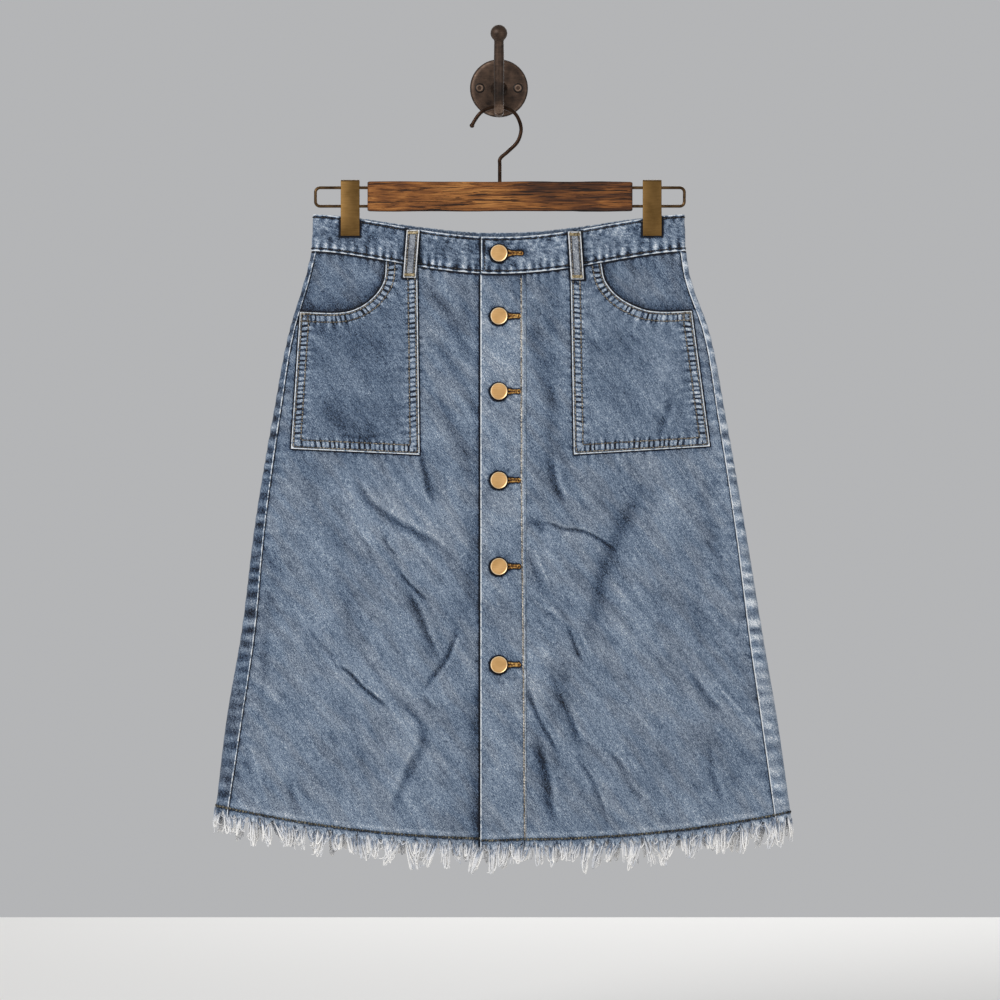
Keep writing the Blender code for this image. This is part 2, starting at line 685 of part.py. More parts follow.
def build_hanger(wood, iron, brass, skirt, cutters):
    x_low, x_high = HANGER_BAR["x"]
    z_low, z_high = HANGER_BAR["z"]
    mesh = bpy.data.meshes.new("hanger_bar")
    edit = bmesh.new()
    bmesh.ops.create_cube(edit, size=MM)
    bmesh.ops.scale(edit, vec=(x_high - x_low, HANGER_BAR["depth"], z_high - z_low), verts=edit.verts)
    middle = Vector(((x_low + x_high) / 2, MIDDLE_Y, (z_low + z_high) / 2)) * MM
    bmesh.ops.translate(edit, vec=middle, verts=edit.verts)
    edit.to_mesh(mesh)
    edit.free()
    bar = place("hanger_bar", mesh, wood, skirt)
    bevel = bar.modifiers.new("worn_edges", "BEVEL")
    bevel.width = 1.4 * MM
    bevel.segments = 2

    socket = cylinder_cutter("hook_socket", HOOK_RADIUS + SOCKET_SPARE, 2 * SOCKET_DEPTH, cutters)
    turn_axis_to(socket, (0.8, MIDDLE_Y, z_high), (0, 0, 1))
    combine(bar, socket, "DIFFERENCE")
    for hand, bar_end, wire_end, name in (
        (-1, x_low, WIRE_END_X[0], "hanger_wire_right"),
        (1, x_high, WIRE_END_X[1], "hanger_wire_left"),
    ):
        for level in WIRE_Z:
            hole = cylinder_cutter(f"{name}_socket_{-level:.0f}", WIRE_RADIUS + SOCKET_SPARE, 2 * SOCKET_DEPTH, cutters)
            turn_axis_to(hole, (bar_end, MIDDLE_Y, level), (hand, 0, 0))
            combine(bar, hole, "DIFFERENCE")
        start = bar_end - hand * (SOCKET_DEPTH - 1.0)
        corner_x = wire_end - hand * WIRE_CORNER
        turns = np.linspace(0, math.pi / 2, 4)
        path = [(start, MIDDLE_Y, WIRE_Z[1])]
        path += [
            (
                corner_x + hand * WIRE_CORNER * math.sin(t),
                MIDDLE_Y,
                WIRE_Z[1] - WIRE_CORNER * (1 - math.cos(t)),
            )
            for t in turns
        ]
        path += [
            (
                corner_x + hand * WIRE_CORNER * math.cos(t),
                MIDDLE_Y,
                WIRE_Z[0] + WIRE_CORNER * (1 - math.sin(t)),
            )
            for t in turns
        ]
        path += [(start, MIDDLE_Y, WIRE_Z[0])]
        wire(name, path, WIRE_RADIUS, 8, iron, skirt)

    flat = hook_path()
    path = np.stack([flat[:, 0], np.full(len(flat), MIDDLE_Y), flat[:, 1]], axis=-1)
    radii = np.full(len(path), HOOK_RADIUS)
    radii[-2:] = (2.3, 1.5)
    wire("hanger_hook", path, radii, 8, iron, skirt)
    build_clips(brass, skirt)


def build_clips(brass, skirt):
    """Each clip is one bent strip: folded over both wires, opening below them into two jaws on the waistband."""
    jaw = WAIST_HALF_DEPTH.min() + PROUD + 0.35
    jaw_top_z, shoulder_z = -124.0, -119.2
    turns = np.linspace(0, math.pi, 7)
    bend_z = CLIP_TOP_Z - CLIP_HALF_GAP - CLIP_WALL

    def contour(offset):
        reach = CLIP_HALF_GAP + offset
        top = [(reach * math.cos(t), bend_z + reach * math.sin(t)) for t in turns]
        right = [(jaw + offset, CLIP_BOTTOM_Z), (jaw + offset, jaw_top_z), (reach, shoulder_z)]
        left = [(-u, z) for u, z in reversed(right)]
        return right + top + left

    outline = contour(CLIP_WALL) + contour(0.0)[::-1]
    for name, x in CLIP_X.items():
        curve = bpy.data.curves.new(name, "CURVE")
        curve.dimensions = "2D"
        curve.fill_mode = "BOTH"
        curve.extrude = CLIP_HALF_WIDTH * MM
        spline = curve.splines.new("POLY")
        spline.points.add(len(outline) - 1)
        for point, (u, w) in zip(spline.points, outline):
            point.co = (u * MM, w * MM, 0.0, 1.0)
        spline.use_cyclic_u = True
        clip = place(name, curve, brass, skirt)
        clip.matrix_world = Matrix(
            ((0, 0, 1, x * MM), (1, 0, 0, MIDDLE_Y * MM), (0, 1, 0, 0), (0, 0, 0, 1))
        )


# ---------------------------------------------------------------- wall hook
def build_wall_hook(iron, steel, skirt, cutters):
    r, t = PLATE_RADIUS, PLATE_THICKNESS
    profile = ((0, t), (r - 4.0, t), (r - 1.5, t - 0.8), (r, t - 2.4), (r, 0.0), (0.0, 0.0))
    plate = turned("wall_hook_plate", profile, 28, iron, skirt)
    turn_axis_to(plate, (0, 0, 0), (0, -1, 0))

    head, shank, spare = SCREW_HEAD_RADIUS, SCREW_SHANK_RADIUS, PARTING
    for name, x in (("wall_screw_right", -SCREW_X), ("wall_screw_left", SCREW_X)):
        body = (
            (0.0, t + 0.5),
            (head * 0.6, t + 0.3),
            (head, t - 0.3),
            (shank, t - 2.7),
            (shank, 0.3),
            (0.0, 0.3),
        )
        screw = turned(name, body, 16, steel, skirt)
        turn_axis_to(screw, (x, 0, 0), (0, -1, 0))
        hole = (
            (0.0, t + 1.0),
            (head + spare, t + 1.0),
            (head + spare, t - 0.4),
            (shank + spare, t - 2.8),
            (shank + spare, -1.0),
            (0.0, -1.0),
        )
        cutter = as_cutter(turned(f"{name}_hole", hole, 16, None, cutters))
        turn_axis_to(cutter, (x, 0, 0), (0, -1, 0))
        combine(plate, cutter, "DIFFERENCE")

    # y, z and radius along the prong, from its root on the plate, through the saddle, up to the ball
    stations = np.array(
        [
            (-t - 2.5, -1.0, 6.8),
            (-13.0, -6.5, 5.4),
            (-22.0, -20.0, 4.2),
            (-32.0, -26.4, 3.9),
            (-42.0, -23.0, 4.2),
            (-48.5, -11.0, 4.6),
            (-51.5, 6.0, 4.9),
            (-54.0, 26.0, 4.9),
            (-57.5, 46.0, 4.6),
        ]
    )
    root = (-t - PARTING, stations[0, 1], 7.0)
    path = np.vstack([root, curve_through(stations, 2)])
    points = np.stack([np.zeros(len(path)), path[:, 0], path[:, 1]], axis=-1)
    prong = as_mesh(wire("wall_hook_prong", points, path[:, 2], 10, iron, skirt), skirt)
    ball_mesh = bpy.data.meshes.new("prong_ball")
    edit = bmesh.new()
    bmesh.ops.create_uvsphere(edit, u_segments=16, v_segments=9, radius=PRONG_BALL_RADIUS * MM)
    edit.to_mesh(ball_mesh)
    edit.free()
    ball = as_cutter(place("prong_ball", ball_mesh, None, cutters))
    ball.location = Vector((0.0, -58.0, 49.5)) * MM
    combine(prong, ball, "UNION")


def main():
    clear_scene()
    skirt = new_collection("denim_skirt_on_hanger")
    cutters = new_collection("cutters")
    denim = new_material("denim", (0.16, 0.24, 0.36), 0.85)
    thread = new_material("frayed_thread", (0.62, 0.64, 0.64), 0.9)
    brass = new_material("brass", (0.70, 0.49, 0.24), 0.35, 1.0)
    aged_brass = new_material("aged_brass", (0.36, 0.25, 0.13), 0.45, 1.0)
    bronze_wire = new_material("bronze_wire", (0.10, 0.075, 0.055), 0.45, 1.0)
    cast_iron = new_material("cast_iron", (0.045, 0.035, 0.03), 0.55, 0.7)
    wood = new_material("dark_wood", (0.11, 0.055, 0.03), 0.7)

    build_fronts(denim, skirt)
    placket = build_placket(denim, skirt)
    build_back(denim, skirt)
    waistband = build_waistband(denim, skirt)
    build_pockets(denim, skirt)
    build_belt_loops(denim, skirt)
    build_buttons(brass, skirt, cutters, placket, waistband)
    locks = build_fringes(thread, skirt)
    build_hanger(wood, bronze_wire, aged_brass, skirt, cutters)
    build_wall_hook(cast_iron, cast_iron, skirt, cutters)
    print("locks in the fringe:", locks)


main()
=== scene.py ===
# %% [markdown]
# # A worn denim skirt on a clip hanger
# A skirt like this is cut from stiff twill, sewn with thick thread, and washed with stones until every ridge is
# pale and every hollow dark. A model that shows it needs three things: the true cut of each piece, small waves
# where thread has drawn the cloth together, and a colour that follows both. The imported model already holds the
# pieces at their real size. So this lesson loads it first and makes a finer skin for each piece from the same few
# sizes, and nothing has to be fitted afterwards.

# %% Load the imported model
import math

import bmesh
import bpy
import numpy as np
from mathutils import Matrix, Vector


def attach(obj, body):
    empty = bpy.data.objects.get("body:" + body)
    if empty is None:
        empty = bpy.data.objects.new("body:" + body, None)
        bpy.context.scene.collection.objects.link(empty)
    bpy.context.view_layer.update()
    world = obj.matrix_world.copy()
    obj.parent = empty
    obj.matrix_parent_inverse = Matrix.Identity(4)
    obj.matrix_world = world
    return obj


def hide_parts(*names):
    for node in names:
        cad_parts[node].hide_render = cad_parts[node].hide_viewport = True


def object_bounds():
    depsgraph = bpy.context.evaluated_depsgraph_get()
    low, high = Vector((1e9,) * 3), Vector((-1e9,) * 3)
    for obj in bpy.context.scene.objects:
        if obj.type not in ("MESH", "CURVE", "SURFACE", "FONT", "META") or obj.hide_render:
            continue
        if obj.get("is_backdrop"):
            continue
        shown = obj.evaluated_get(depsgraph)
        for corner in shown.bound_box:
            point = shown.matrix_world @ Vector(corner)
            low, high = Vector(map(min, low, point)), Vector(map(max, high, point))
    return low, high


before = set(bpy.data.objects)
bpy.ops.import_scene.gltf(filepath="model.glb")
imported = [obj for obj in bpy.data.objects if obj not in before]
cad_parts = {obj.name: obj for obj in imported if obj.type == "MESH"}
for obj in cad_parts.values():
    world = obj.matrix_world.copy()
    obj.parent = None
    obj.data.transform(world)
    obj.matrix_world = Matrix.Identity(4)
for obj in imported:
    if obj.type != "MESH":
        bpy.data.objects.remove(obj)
cad_box = [list(corner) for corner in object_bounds()]
MM = 0.001  # sizes below are in millimetres, and meshes are in metres
print("packed nodes:", len(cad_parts))

# %% [markdown]
# ## Camera, floor and light
# The skirt is looked at straight from the front. A short lens would shift the wall plate behind it, so a long one
# looks from over five metres, a distance that follows from the width to be shown. The floor and the air are pale
# and plain, and two large soft lights stand in front, the stronger one at the upper left, so that folds get a
# gentle shadow side. A wall behind the hook would hide the back view, so there is none.

# %% Camera
FRAME_WIDTH = 975.0  # across the picture, at the skirt's front
FRAME_CENTRE = (1.0, -404.6)
FRONT_PLANE_Y = -45.0
LENS, SENSOR = 200.0, 36.0


def new_object(name, data):
    """An object for a mesh, a light or a camera, placed in the scene."""
    thing = bpy.data.objects.new(name, data)
    bpy.context.scene.collection.objects.link(thing)
    return thing


camera_data = bpy.data.cameras.new("camera")
camera_data.lens = LENS
camera_data.sensor_width = SENSOR
camera = new_object("camera", camera_data)
camera_distance = FRAME_WIDTH * LENS / SENSOR
camera.location = Vector((FRAME_CENTRE[0], FRONT_PLANE_Y - camera_distance, FRAME_CENTRE[1])) * MM
camera.rotation_euler = (math.pi / 2, 0.0, 0.0)
bpy.context.scene.camera = camera
bpy.context.scene.view_settings.view_transform = "Standard"
print(f"camera {camera_distance * MM:.2f} m from the skirt")

# %% Floor, air and lights
FLOOR_Z = -950.0
FLOOR_SIZE = 3600.0


def new_material(name, **settings):
    """A material, its node tree and its Principled shader, with numbers or a colour set on the shader's sockets."""
    material = bpy.data.materials.new(name)
    material.use_nodes = True
    shader = material.node_tree.nodes["Principled BSDF"]
    for setting, value in settings.items():
        shader.inputs[setting.replace("_", " ")].default_value = value
    return material, material.node_tree, shader


def soft_light(name, place, aim, size, watts):
    """A square area light at place, turned towards aim, all in metres."""
    data = bpy.data.lights.new(name, "AREA")
    data.size = size
    data.energy = watts
    lamp = new_object(name, data)
    lamp.location = place
    lamp.rotation_euler = (Vector(aim) - Vector(place)).to_track_quat("-Z", "Y").to_euler()


floor_mesh = bpy.data.meshes.new("floor")
half = FLOOR_SIZE / 2 * MM
floor_corners = [(-half, -half, 0), (half, -half, 0), (half, half, 0), (-half, half, 0)]
floor_mesh.from_pydata(floor_corners, [], [(0, 1, 2, 3)])
floor_mesh.materials.append(new_material("pale_floor", Base_Color=(0.82, 0.81, 0.79, 1.0), Roughness=0.8)[0])
floor = new_object("floor", floor_mesh)
floor.location.z = FLOOR_Z * MM
floor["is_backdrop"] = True

SKIRT_MIDDLE = (0.0, -0.03, -0.42)
soft_light("key_light", (-1.5, -1.9, 0.9), SKIRT_MIDDLE, 1.3, 40.0)
soft_light("fill_light", (1.7, -2.2, -0.1), SKIRT_MIDDLE, 2.0, 15.0)
soft_light("back_light", (0.4, 2.4, 0.6), SKIRT_MIDDLE, 2.0, 26.0)

world = bpy.data.worlds.new("pale_air")
world.use_nodes = True
air = world.node_tree.nodes["Background"]
air.inputs["Color"].default_value = (0.97, 0.98, 1.0, 1.0)
air.inputs["Strength"].default_value = 0.47
bpy.context.scene.world = world

# %% [markdown]
# ## The skirt's own sizes
# Every piece below lies on one form: a tube that is pinched flat at the waist and opens into a lens at the hem.
# It could be sculpted, but a maker's few sizes say it better. A table gives the width at eight heights, and a
# few formulas turn it into any point of the front, the back or the waistband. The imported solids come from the
# same sizes, so a skin made here lies exactly on its solid.

# %% Sizes
PARTING = 0.3
DENIM, PLACKET_WALL, WAISTBAND_WALL, BELT_LOOP_WALL = 1.2, 2.2, 2.5, 2.0
PROUD = 0.5  # the waistband and the placket stand this far in front of the panels
MIDDLE_Y = -32.0
WAIST_SEAM_Z = -161.5
WAIST_SAG_FRONT, WAIST_SAG_BACK = 22.4, 17.5
WAISTBAND_HEIGHT, WAISTBAND_TOP_NARROWER = 35.5, 1.3
HEM_Z, HEM_TILT = -711.5, 3.2
HEM_SAG_FRONT, HEM_SAG_BACK = 28.5, 26.0
HEM_DROP = WAIST_SEAM_Z - HEM_Z

# Drop below the waist seam, the edges on the viewer's left and right, and how far in from each its seam lies.
SIDE_ROWS = np.array([
    (0, 183.0, 182.8, 4.6, 5.6),
    (25, 189.0, 187.0, 4.6, 5.6),
    (75, 204.0, 204.5, 5.0, 5.8),
    (160, 220.5, 221.5, 7.0, 7.6),
    (265, 238.0, 240.0, 10.0, 9.6),
    (380, 252.5, 259.0, 13.2, 13.5),
    (455, 265.5, 272.0, 15.0, 15.5),
    (550, 277.0, 285.5, 12.2, 15.5),
])
WAIST_REACH = np.array([0.0, 0.33, 0.56, 0.70, 0.76, 0.86, 1.0])
WAIST_HALF_DEPTH = np.array([10.0, 8.6, 5.2, 2.9, 2.3, 2.3, 3.2])
PINCH_FADE = 0.32
BODY_HALF_DEPTH_TOP, BODY_HALF_DEPTH_HEM = 10.0, 26.0
FOLD_RADIUS_TOP, FOLD_RADIUS_HEM = 3.2, 7.0
PLACKET_X = (-18.0, 26.5)
UNDERLAP_END_X = 24.0
UNDERLAP_EASE_X = (-46.0, -20.0)
PLACKET_HEM_DROP = 2.0

# Soft folds: start x and z, end x and z, half width, height (below zero for a valley).
FRONT_FOLDS = (
    (-192, -372, -158, -470, 17, 2.2),
    (-146, -382, -84, -452, 15, 2.0),
    (-106, -452, -66, -540, 14, -2.0),
    (-174, -560, -108, -604, 13, 2.4),
    (-104, -606, -72, -660, 14, 2.2),
    (-44, -522, -74, -594, 13, -2.0),
    (56, -434, 120, -456, 13, 2.0),
    (132, -388, 98, -492, 17, -2.2),
    (30, -562, 60, -640, 13, 2.2),
    (66, -590, 98, -668, 14, -2.0),
    (178, -566, 246, -644, 17, 2.2),
)
BACK_FOLDS = (
    (-170, -330, -120, -450, 18, 2.0),
    (-60, -420, -20, -560, 17, -2.0),
    (150, -350, 105, -470, 18, 2.2),
    (40, -470, 85, -600, 17, 2.0),
    (-190, -560, -120, -640, 16, 2.0),
    (180, -560, 130, -660, 17, -2.0),
    (-30, -600, -50, -690, 15, 1.8),
)
print("skirt's width at the waist and at the hem, in mm:", SIDE_ROWS[[0, -1], 1:3].sum(axis=1))


# %% Reading a table, easing and curves
def read_table(where, places, values):
    """A column read between its rows: a cubic through every row, with the mean slope of its neighbours."""
    where = np.asarray(where, float)
    slopes = np.gradient(values, places)
    i = np.clip(np.searchsorted(places, where) - 1, 0, len(places) - 2)
    step = places[i + 1] - places[i]
    t = (where - places[i]) / step
    return (
        values[i] * (1 + 2 * t) * (1 - t) ** 2
        + slopes[i] * step * t * (1 - t) ** 2
        + values[i + 1] * t**2 * (3 - 2 * t)
        + slopes[i + 1] * step * t**2 * (t - 1)
    )


def ease(t):
    """0 before t = 0 and 1 after t = 1, with a smooth rise between: t squared times (3 - 2 t)."""
    t = np.clip(t, 0.0, 1.0)
    return t * t * (3 - 2 * t)


def curve_through(points, per_span):
    """A smooth curve through the points, as a Catmull-Rom spline with per_span steps between each pair."""
    p = np.asarray(points, float)
    p = np.vstack([2 * p[0] - p[1], p, 2 * p[-1] - p[-2]])
    t = np.linspace(0, 1, per_span, endpoint=False)[:, None]
    spans = [
        0.5 * (2 * b + (c - a) * t + (2 * a - 5 * b + 4 * c - d) * t**2 + (3 * b - a - 3 * c + d) * t**3)
        for a, b, c, d in zip(p, p[1:], p[2:], p[3:])
    ]
    return np.vstack(spans + [p[-2:-1]])


def run_lengths(points):
    """How far along a polyline each of its points lies."""
    steps = np.linalg.norm(np.diff(points, axis=0), axis=1)
    return np.concatenate([[0.0], np.cumsum(steps)])


def at_run(points, run, values=None):
    """Points at distances along a polyline, or other values that are given for each of its points."""
    columns = np.asarray(points if values is None else values, float).T
    return np.stack([np.interp(run, run_lengths(points), column) for column in columns], axis=-1)


def along(points, shares):
    """Points at shares of a polyline's length."""
    return at_run(points, np.asarray(shares) * run_lengths(points)[-1])


print("ease(0.25) =", float(ease(0.25)))


# %% The form of the skirt
def sides(v):
    """The left and right edges, as distances from x = 0, at a share v of the way from waist to hem."""
    drop = np.asarray(v) * HEM_DROP
    places = SIDE_ROWS[:, 0]
    return read_table(drop, places, SIDE_ROWS[:, 1]), read_table(drop, places, SIDE_ROWS[:, 2])


def seam_x(v):
    """The x of the side seams on the viewer's left and right."""
    drop = np.asarray(v) * HEM_DROP
    left, right = sides(v)
    places = SIDE_ROWS[:, 0]
    return read_table(drop, places, SIDE_ROWS[:, 3]) - left, right - read_table(drop, places, SIDE_ROWS[:, 4])


def fold_radius(v):
    """The side folds' radius grows evenly from waist to hem."""
    return FOLD_RADIUS_TOP + (FOLD_RADIUS_HEM - FOLD_RADIUS_TOP) * np.asarray(v)


def half_depth(x, v):
    """Half the tube's depth: a pinched waist that eases into a lens, times a half circle over each side fold."""
    left, right = sides(v)
    middle, half_width, radius = (right - left) / 2, (right + left) / 2, fold_radius(v)
    out = np.abs(x - middle)
    reach = np.minimum(out / (half_width - radius), 1.0)
    deepening = np.clip(v, 0.0, 1.0) ** 0.8
    full = BODY_HALF_DEPTH_TOP + (BODY_HALF_DEPTH_HEM - BODY_HALF_DEPTH_TOP) * deepening
    lens = radius + (full - radius) * (1 - reach**2) ** 1.3
    pinch = read_table(reach, WAIST_REACH, WAIST_HALF_DEPTH)
    depth = pinch + (lens - pinch) * ease(np.asarray(v) / PINCH_FADE)
    past = np.maximum(out - (half_width - radius), 0.0) / radius
    return depth * np.sqrt(np.maximum(1 - past**2, 0.0))


def height(x, v, side):
    """z of a point of the cloth: each row hangs in a curve between the sides."""
    left, right = sides(v)
    share = np.clip((x - (right - left) / 2) / ((right + left) / 2), -1.0, 1.0)
    sags = {"front": (WAIST_SAG_FRONT, HEM_SAG_FRONT), "back": (WAIST_SAG_BACK, HEM_SAG_BACK)}
    waist_sag, hem_sag = sags[side]
    waist = WAIST_SEAM_Z - waist_sag * np.cos(share * math.pi / 2) ** 1.6
    hem = HEM_Z - HEM_TILT * share - hem_sag * (1 - np.abs(share) ** 2.1)
    return waist + (hem - waist) * v


def below_waist_seam(x, z, side="front"):
    """How far a point of the cloth lies below the waist seam."""
    return height(x, 0.0, side) - z


def above_raw_edge(x, z):
    """How far a point of the front lies above the hem's raw edge."""
    return z - height(x, 1.0, "front")


def relief(x, z, folds):
    """Height of the soft folds: a bell across each straight line, tapered at both ends."""
    total = np.zeros(np.broadcast(x, z).shape)
    for x0, z0, x1, z1, half_width, size in folds:
        dx, dz = x1 - x0, z1 - z0
        length = math.hypot(dx, dz)
        t = ((x - x0) * dx + (z - z0) * dz) / length**2
        across = ((x - x0) * dz - (z - z0) * dx) / length
        taper = ease((t + 0.15) / 0.4) * ease((1.15 - t) / 0.4)
        total = total + size * taper * np.exp(-((across / half_width) ** 2))
    return total


def cloth_point(x, v, side, lift=0.0):
    """The panel's outer face at x and v, moved out by lift."""
    x, v = np.broadcast_arrays(np.asarray(x, float), np.asarray(v, float))
    z = height(x, v, side)
    hand, folds = (-1, FRONT_FOLDS) if side == "front" else (1, BACK_FOLDS)
    y = MIDDLE_Y + hand * (half_depth(x, v) + relief(x, z, folds) + lift)
    return np.stack([x, y, z], axis=-1)


def v_at(x, z, side):
    """The share of the way down at which the cloth passes through x and z, by repeated correction."""
    v = np.full(np.broadcast(x, z).shape, 0.3)
    for _ in range(12):
        v = v + (height(x, v, side) - z) / HEM_DROP
    return v


def front_point(x, z, lift):
    """A point of the front's outer face given in the flat front view."""
    x, z = np.asarray(x, float), np.asarray(z, float)
    return cloth_point(x, v_at(x, z, "front"), "front", lift)


def underlap_sink(x, depth):
    """How far the right front lies behind the outer face as it passes under the placket."""
    start, end = UNDERLAP_EASE_X
    return depth * ease((np.asarray(x) - start) / (end - start))


print("front at x = 0, half way down, in mm:", np.round(cloth_point(0.0, 0.5, "front"), 1))

# %% [markdown]
# ## Creases, rumples and puckers
# Hung denim is never smooth. It keeps long soft creases from being folded, small rumples all over, and rows of
# tight puckers beside each sewn line, because thread shrinks more than cloth. Simulated cloth could give such
# folds, but not where they are wanted. Here each crease is a short path, drawn one by one, with a trough and a
# ridge beside it. Rumples are smooth noise, and puckers are a wave that runs along a seam and dies away from it.


# %% Smooth noise
def value_noise(u, v, seed):
    """Smooth noise between -1 and 1: random numbers at whole u and v, eased between the four nearest."""
    size = 64
    lattice = np.random.default_rng(seed).uniform(-1.0, 1.0, (size, size))
    u, v = np.broadcast_arrays(np.asarray(u, float), np.asarray(v, float))
    column, row = np.floor(u).astype(int), np.floor(v).astype(int)
    s, t = ease(u - column), ease(v - row)
    a, b, c, d = (lattice[(column + i) % size, (row + j) % size] for j in (0, 1) for i in (0, 1))
    near, far = a + (b - a) * s, c + (d - c) * s
    return near + (far - near) * t


def puckers(distance, run, pitch, reach, seed):
    """Waves across a sewn line: a sine along it whose pitch and height wander, dying away with distance."""
    drift = 1.5 * value_noise(run / (2.6 * pitch), 0.0, seed)
    uneven = 0.62 + 0.38 * value_noise(run / (1.3 * pitch), 5.0, seed + 1)
    return np.sin(2 * math.pi * run / pitch + 2 * drift) * uneven * np.exp(-np.abs(distance) / reach)


def beside(x, z, path):
    """For each point: its distance from a path, how far along the path that is, and on which side it lies."""
    path = np.asarray(path, float)
    step = np.diff(path, axis=0)
    length = np.hypot(step[:, 0], step[:, 1])
    px, pz = np.asarray(x)[..., None] - path[:-1, 0], np.asarray(z)[..., None] - path[:-1, 1]
    t = np.clip((px * step[:, 0] + pz * step[:, 1]) / length**2, 0.0, 1.0)
    away = np.hypot(px - t * step[:, 0], pz - t * step[:, 1])
    nearest = away.argmin(axis=-1)[..., None]
    run = np.concatenate([[0.0], np.cumsum(length)[:-1]]) + t * length
    side = np.sign(step[:, 0] * pz - step[:, 1] * px)
    return tuple(np.take_along_axis(w, nearest, axis=-1)[..., 0] for w in (away, run, side))


print("noise at (0.5, 0.5):", round(float(value_noise(0.5, 0.5, 1)), 3))

# %% The creases
# Each: half width, depth of the trough, the side of its ridge (1 is the left side on the way along the path,
# -1 the right, 0 for none), and its path as x, z, x, z and so on. A depth below zero is a ridge.
FRONT_CREASES = (
    (4.4, 1.8, 1, -142, -366, -137, -388, -127, -406, -110, -420, -90, -432, -67, -444, -38, -465),
    (3.4, 1.6, -1, -78, -350, -73, -375, -68, -397, -60, -417),
    (2.4, 1.5, 1, -115, -438, -108, -450, -99, -461),
    (2.4, 1.9, 1, -103, -466, -93, -480, -82, -492, -72, -500, -63, -503),
    (4.4, 1.8, 1, -97, -485, -87, -499, -79, -514, -72, -531, -66, -547, -60, -563),
    (2.8, 2.2, 1, -38, -522, -44, -541, -50, -557, -58, -569, -67, -581, -76, -593),
    (3.0, 1.3, 1, -76, -593, -67, -604, -56, -612),
    (1.8, -0.9, 0, -57, -580, -54, -595, -50, -608),
    (2.4, 2.8, 1, -164, -564, -150, -570, -141, -578, -133, -587, -123, -595, -112, -604, -104, -611),
    (5.4, 1.5, -1, -112, -594, -100, -601, -87, -610, -77, -621, -73, -636, -77, -649, -85, -664, -93, -682,
     -100, -698, -108, -719),
    (2.0, -1.0, 0, -243, -637, -237, -663, -229, -689),
    (2.0, -1.0, 0, -247, -664, -240, -690, -231, -712),
    (2.6, 1.1, 0, -248, -650, -243, -676, -236, -703),
    (5.0, 0.9, 1, -208, -663, -203, -689, -195, -719),
    (3.0, 0.9, 1, -143, -430, -128, -452, -117, -474),
    (3.0, 0.8, 1, -186, -530, -172, -548, -158, -560),
    (3.0, 0.8, 1, -160, -340, -130, -344, -104, -338),
    (3.6, 1.7, 0, 28, -423, 38, -430, 47, -439),
    (2.2, 2.4, 1, 33, -427, 50, -428, 64, -433, 81, -435, 95, -441, 108, -450, 122, -459),
    (1.9, -1.1, 0, 33, -448, 41, -469, 51, -490),
    (2.3, 1.2, 0, 27, -451, 34, -473, 45, -496),
    (1.9, -1.2, 0, 30, -501, 45, -509, 57, -516, 63, -529),
    (2.3, 2.2, 1, 66, -524, 71, -539, 78, -555, 83, -565),
    (1.8, -1.2, 0, 78, -529, 84, -544, 91, -563),
    (4.2, 1.6, 1, 52, -586, 61, -601, 69, -617, 76, -637, 85, -650),
    (2.8, 1.7, 1, 25, -576, 32, -602, 41, -623, 53, -644, 61, -666),
    (5.0, 1.7, 1, 31, -631, 38, -647, 45, -669, 49, -697, 54, -728),
    (2.8, 1.5, 1, 73, -650, 88, -674, 98, -696, 106, -724),
    (3.0, 1.1, 1, 98, -641, 116, -660, 128, -683, 145, -703),
    (4.2, 1.4, 1, 186, -568, 196, -589, 209, -605, 224, -612),
    (2.0, -1.1, 0, 208, -574, 225, -599, 245, -620, 262, -650),
    (4.0, 1.0, 1, 208, -635, 206, -662, 213, -685, 220, -709),
    (4.8, 2.1, 1, 48, -358, 53, -384, 59, -400, 67, -412),
    (4.0, 1.2, 1, 172, -300, 160, -330, 152, -352),
    (3.0, 0.9, 1, 196, -440, 210, -452, 222, -470),
)
BACK_CREASES = (
    (4.4, 1.8, 1, -120, -372, -104, -402, -78, -428, -52, -440),
    (2.8, 1.8, -1, -92, -470, -80, -500, -60, -524, -44, -548),
    (2.4, 2.4, -1, -150, -560, -124, -580, -104, -604, -76, -622),
    (4.6, 1.7, 1, -70, -622, -84, -652, -78, -690),
    (3.0, 1.2, 1, -232, -600, -222, -640, -208, -684),
    (2.0, -1.0, 0, -206, -610, -198, -646, -188, -690),
    (4.0, 1.5, 1, 20, -190, 34, -214, 38, -250),
    (4.0, 1.5, -1, -30, -188, -44, -214, -50, -246),
    (4.6, 1.9, 1, 40, -330, 62, -372, 66, -420),
    (2.4, 2.2, 1, 60, -430, 90, -436, 118, -452, 140, -474),
    (2.6, 1.6, 1, 30, -450, 58, -482, 74, -520),
    (4.6, 1.8, 1, 36, -560, 62, -604, 96, -646, 110, -696),
    (1.9, -1.1, 0, 60, -574, 84, -610, 112, -640),
    (4.0, 1.6, 1, 170, -540, 200, -572, 226, -612, 240, -660),
    (4.0, 1.2, 1, -20, -520, -14, -570, -24, -620),
    (3.0, 1.2, 1, -180, -470, -160, -500, -150, -530),
)
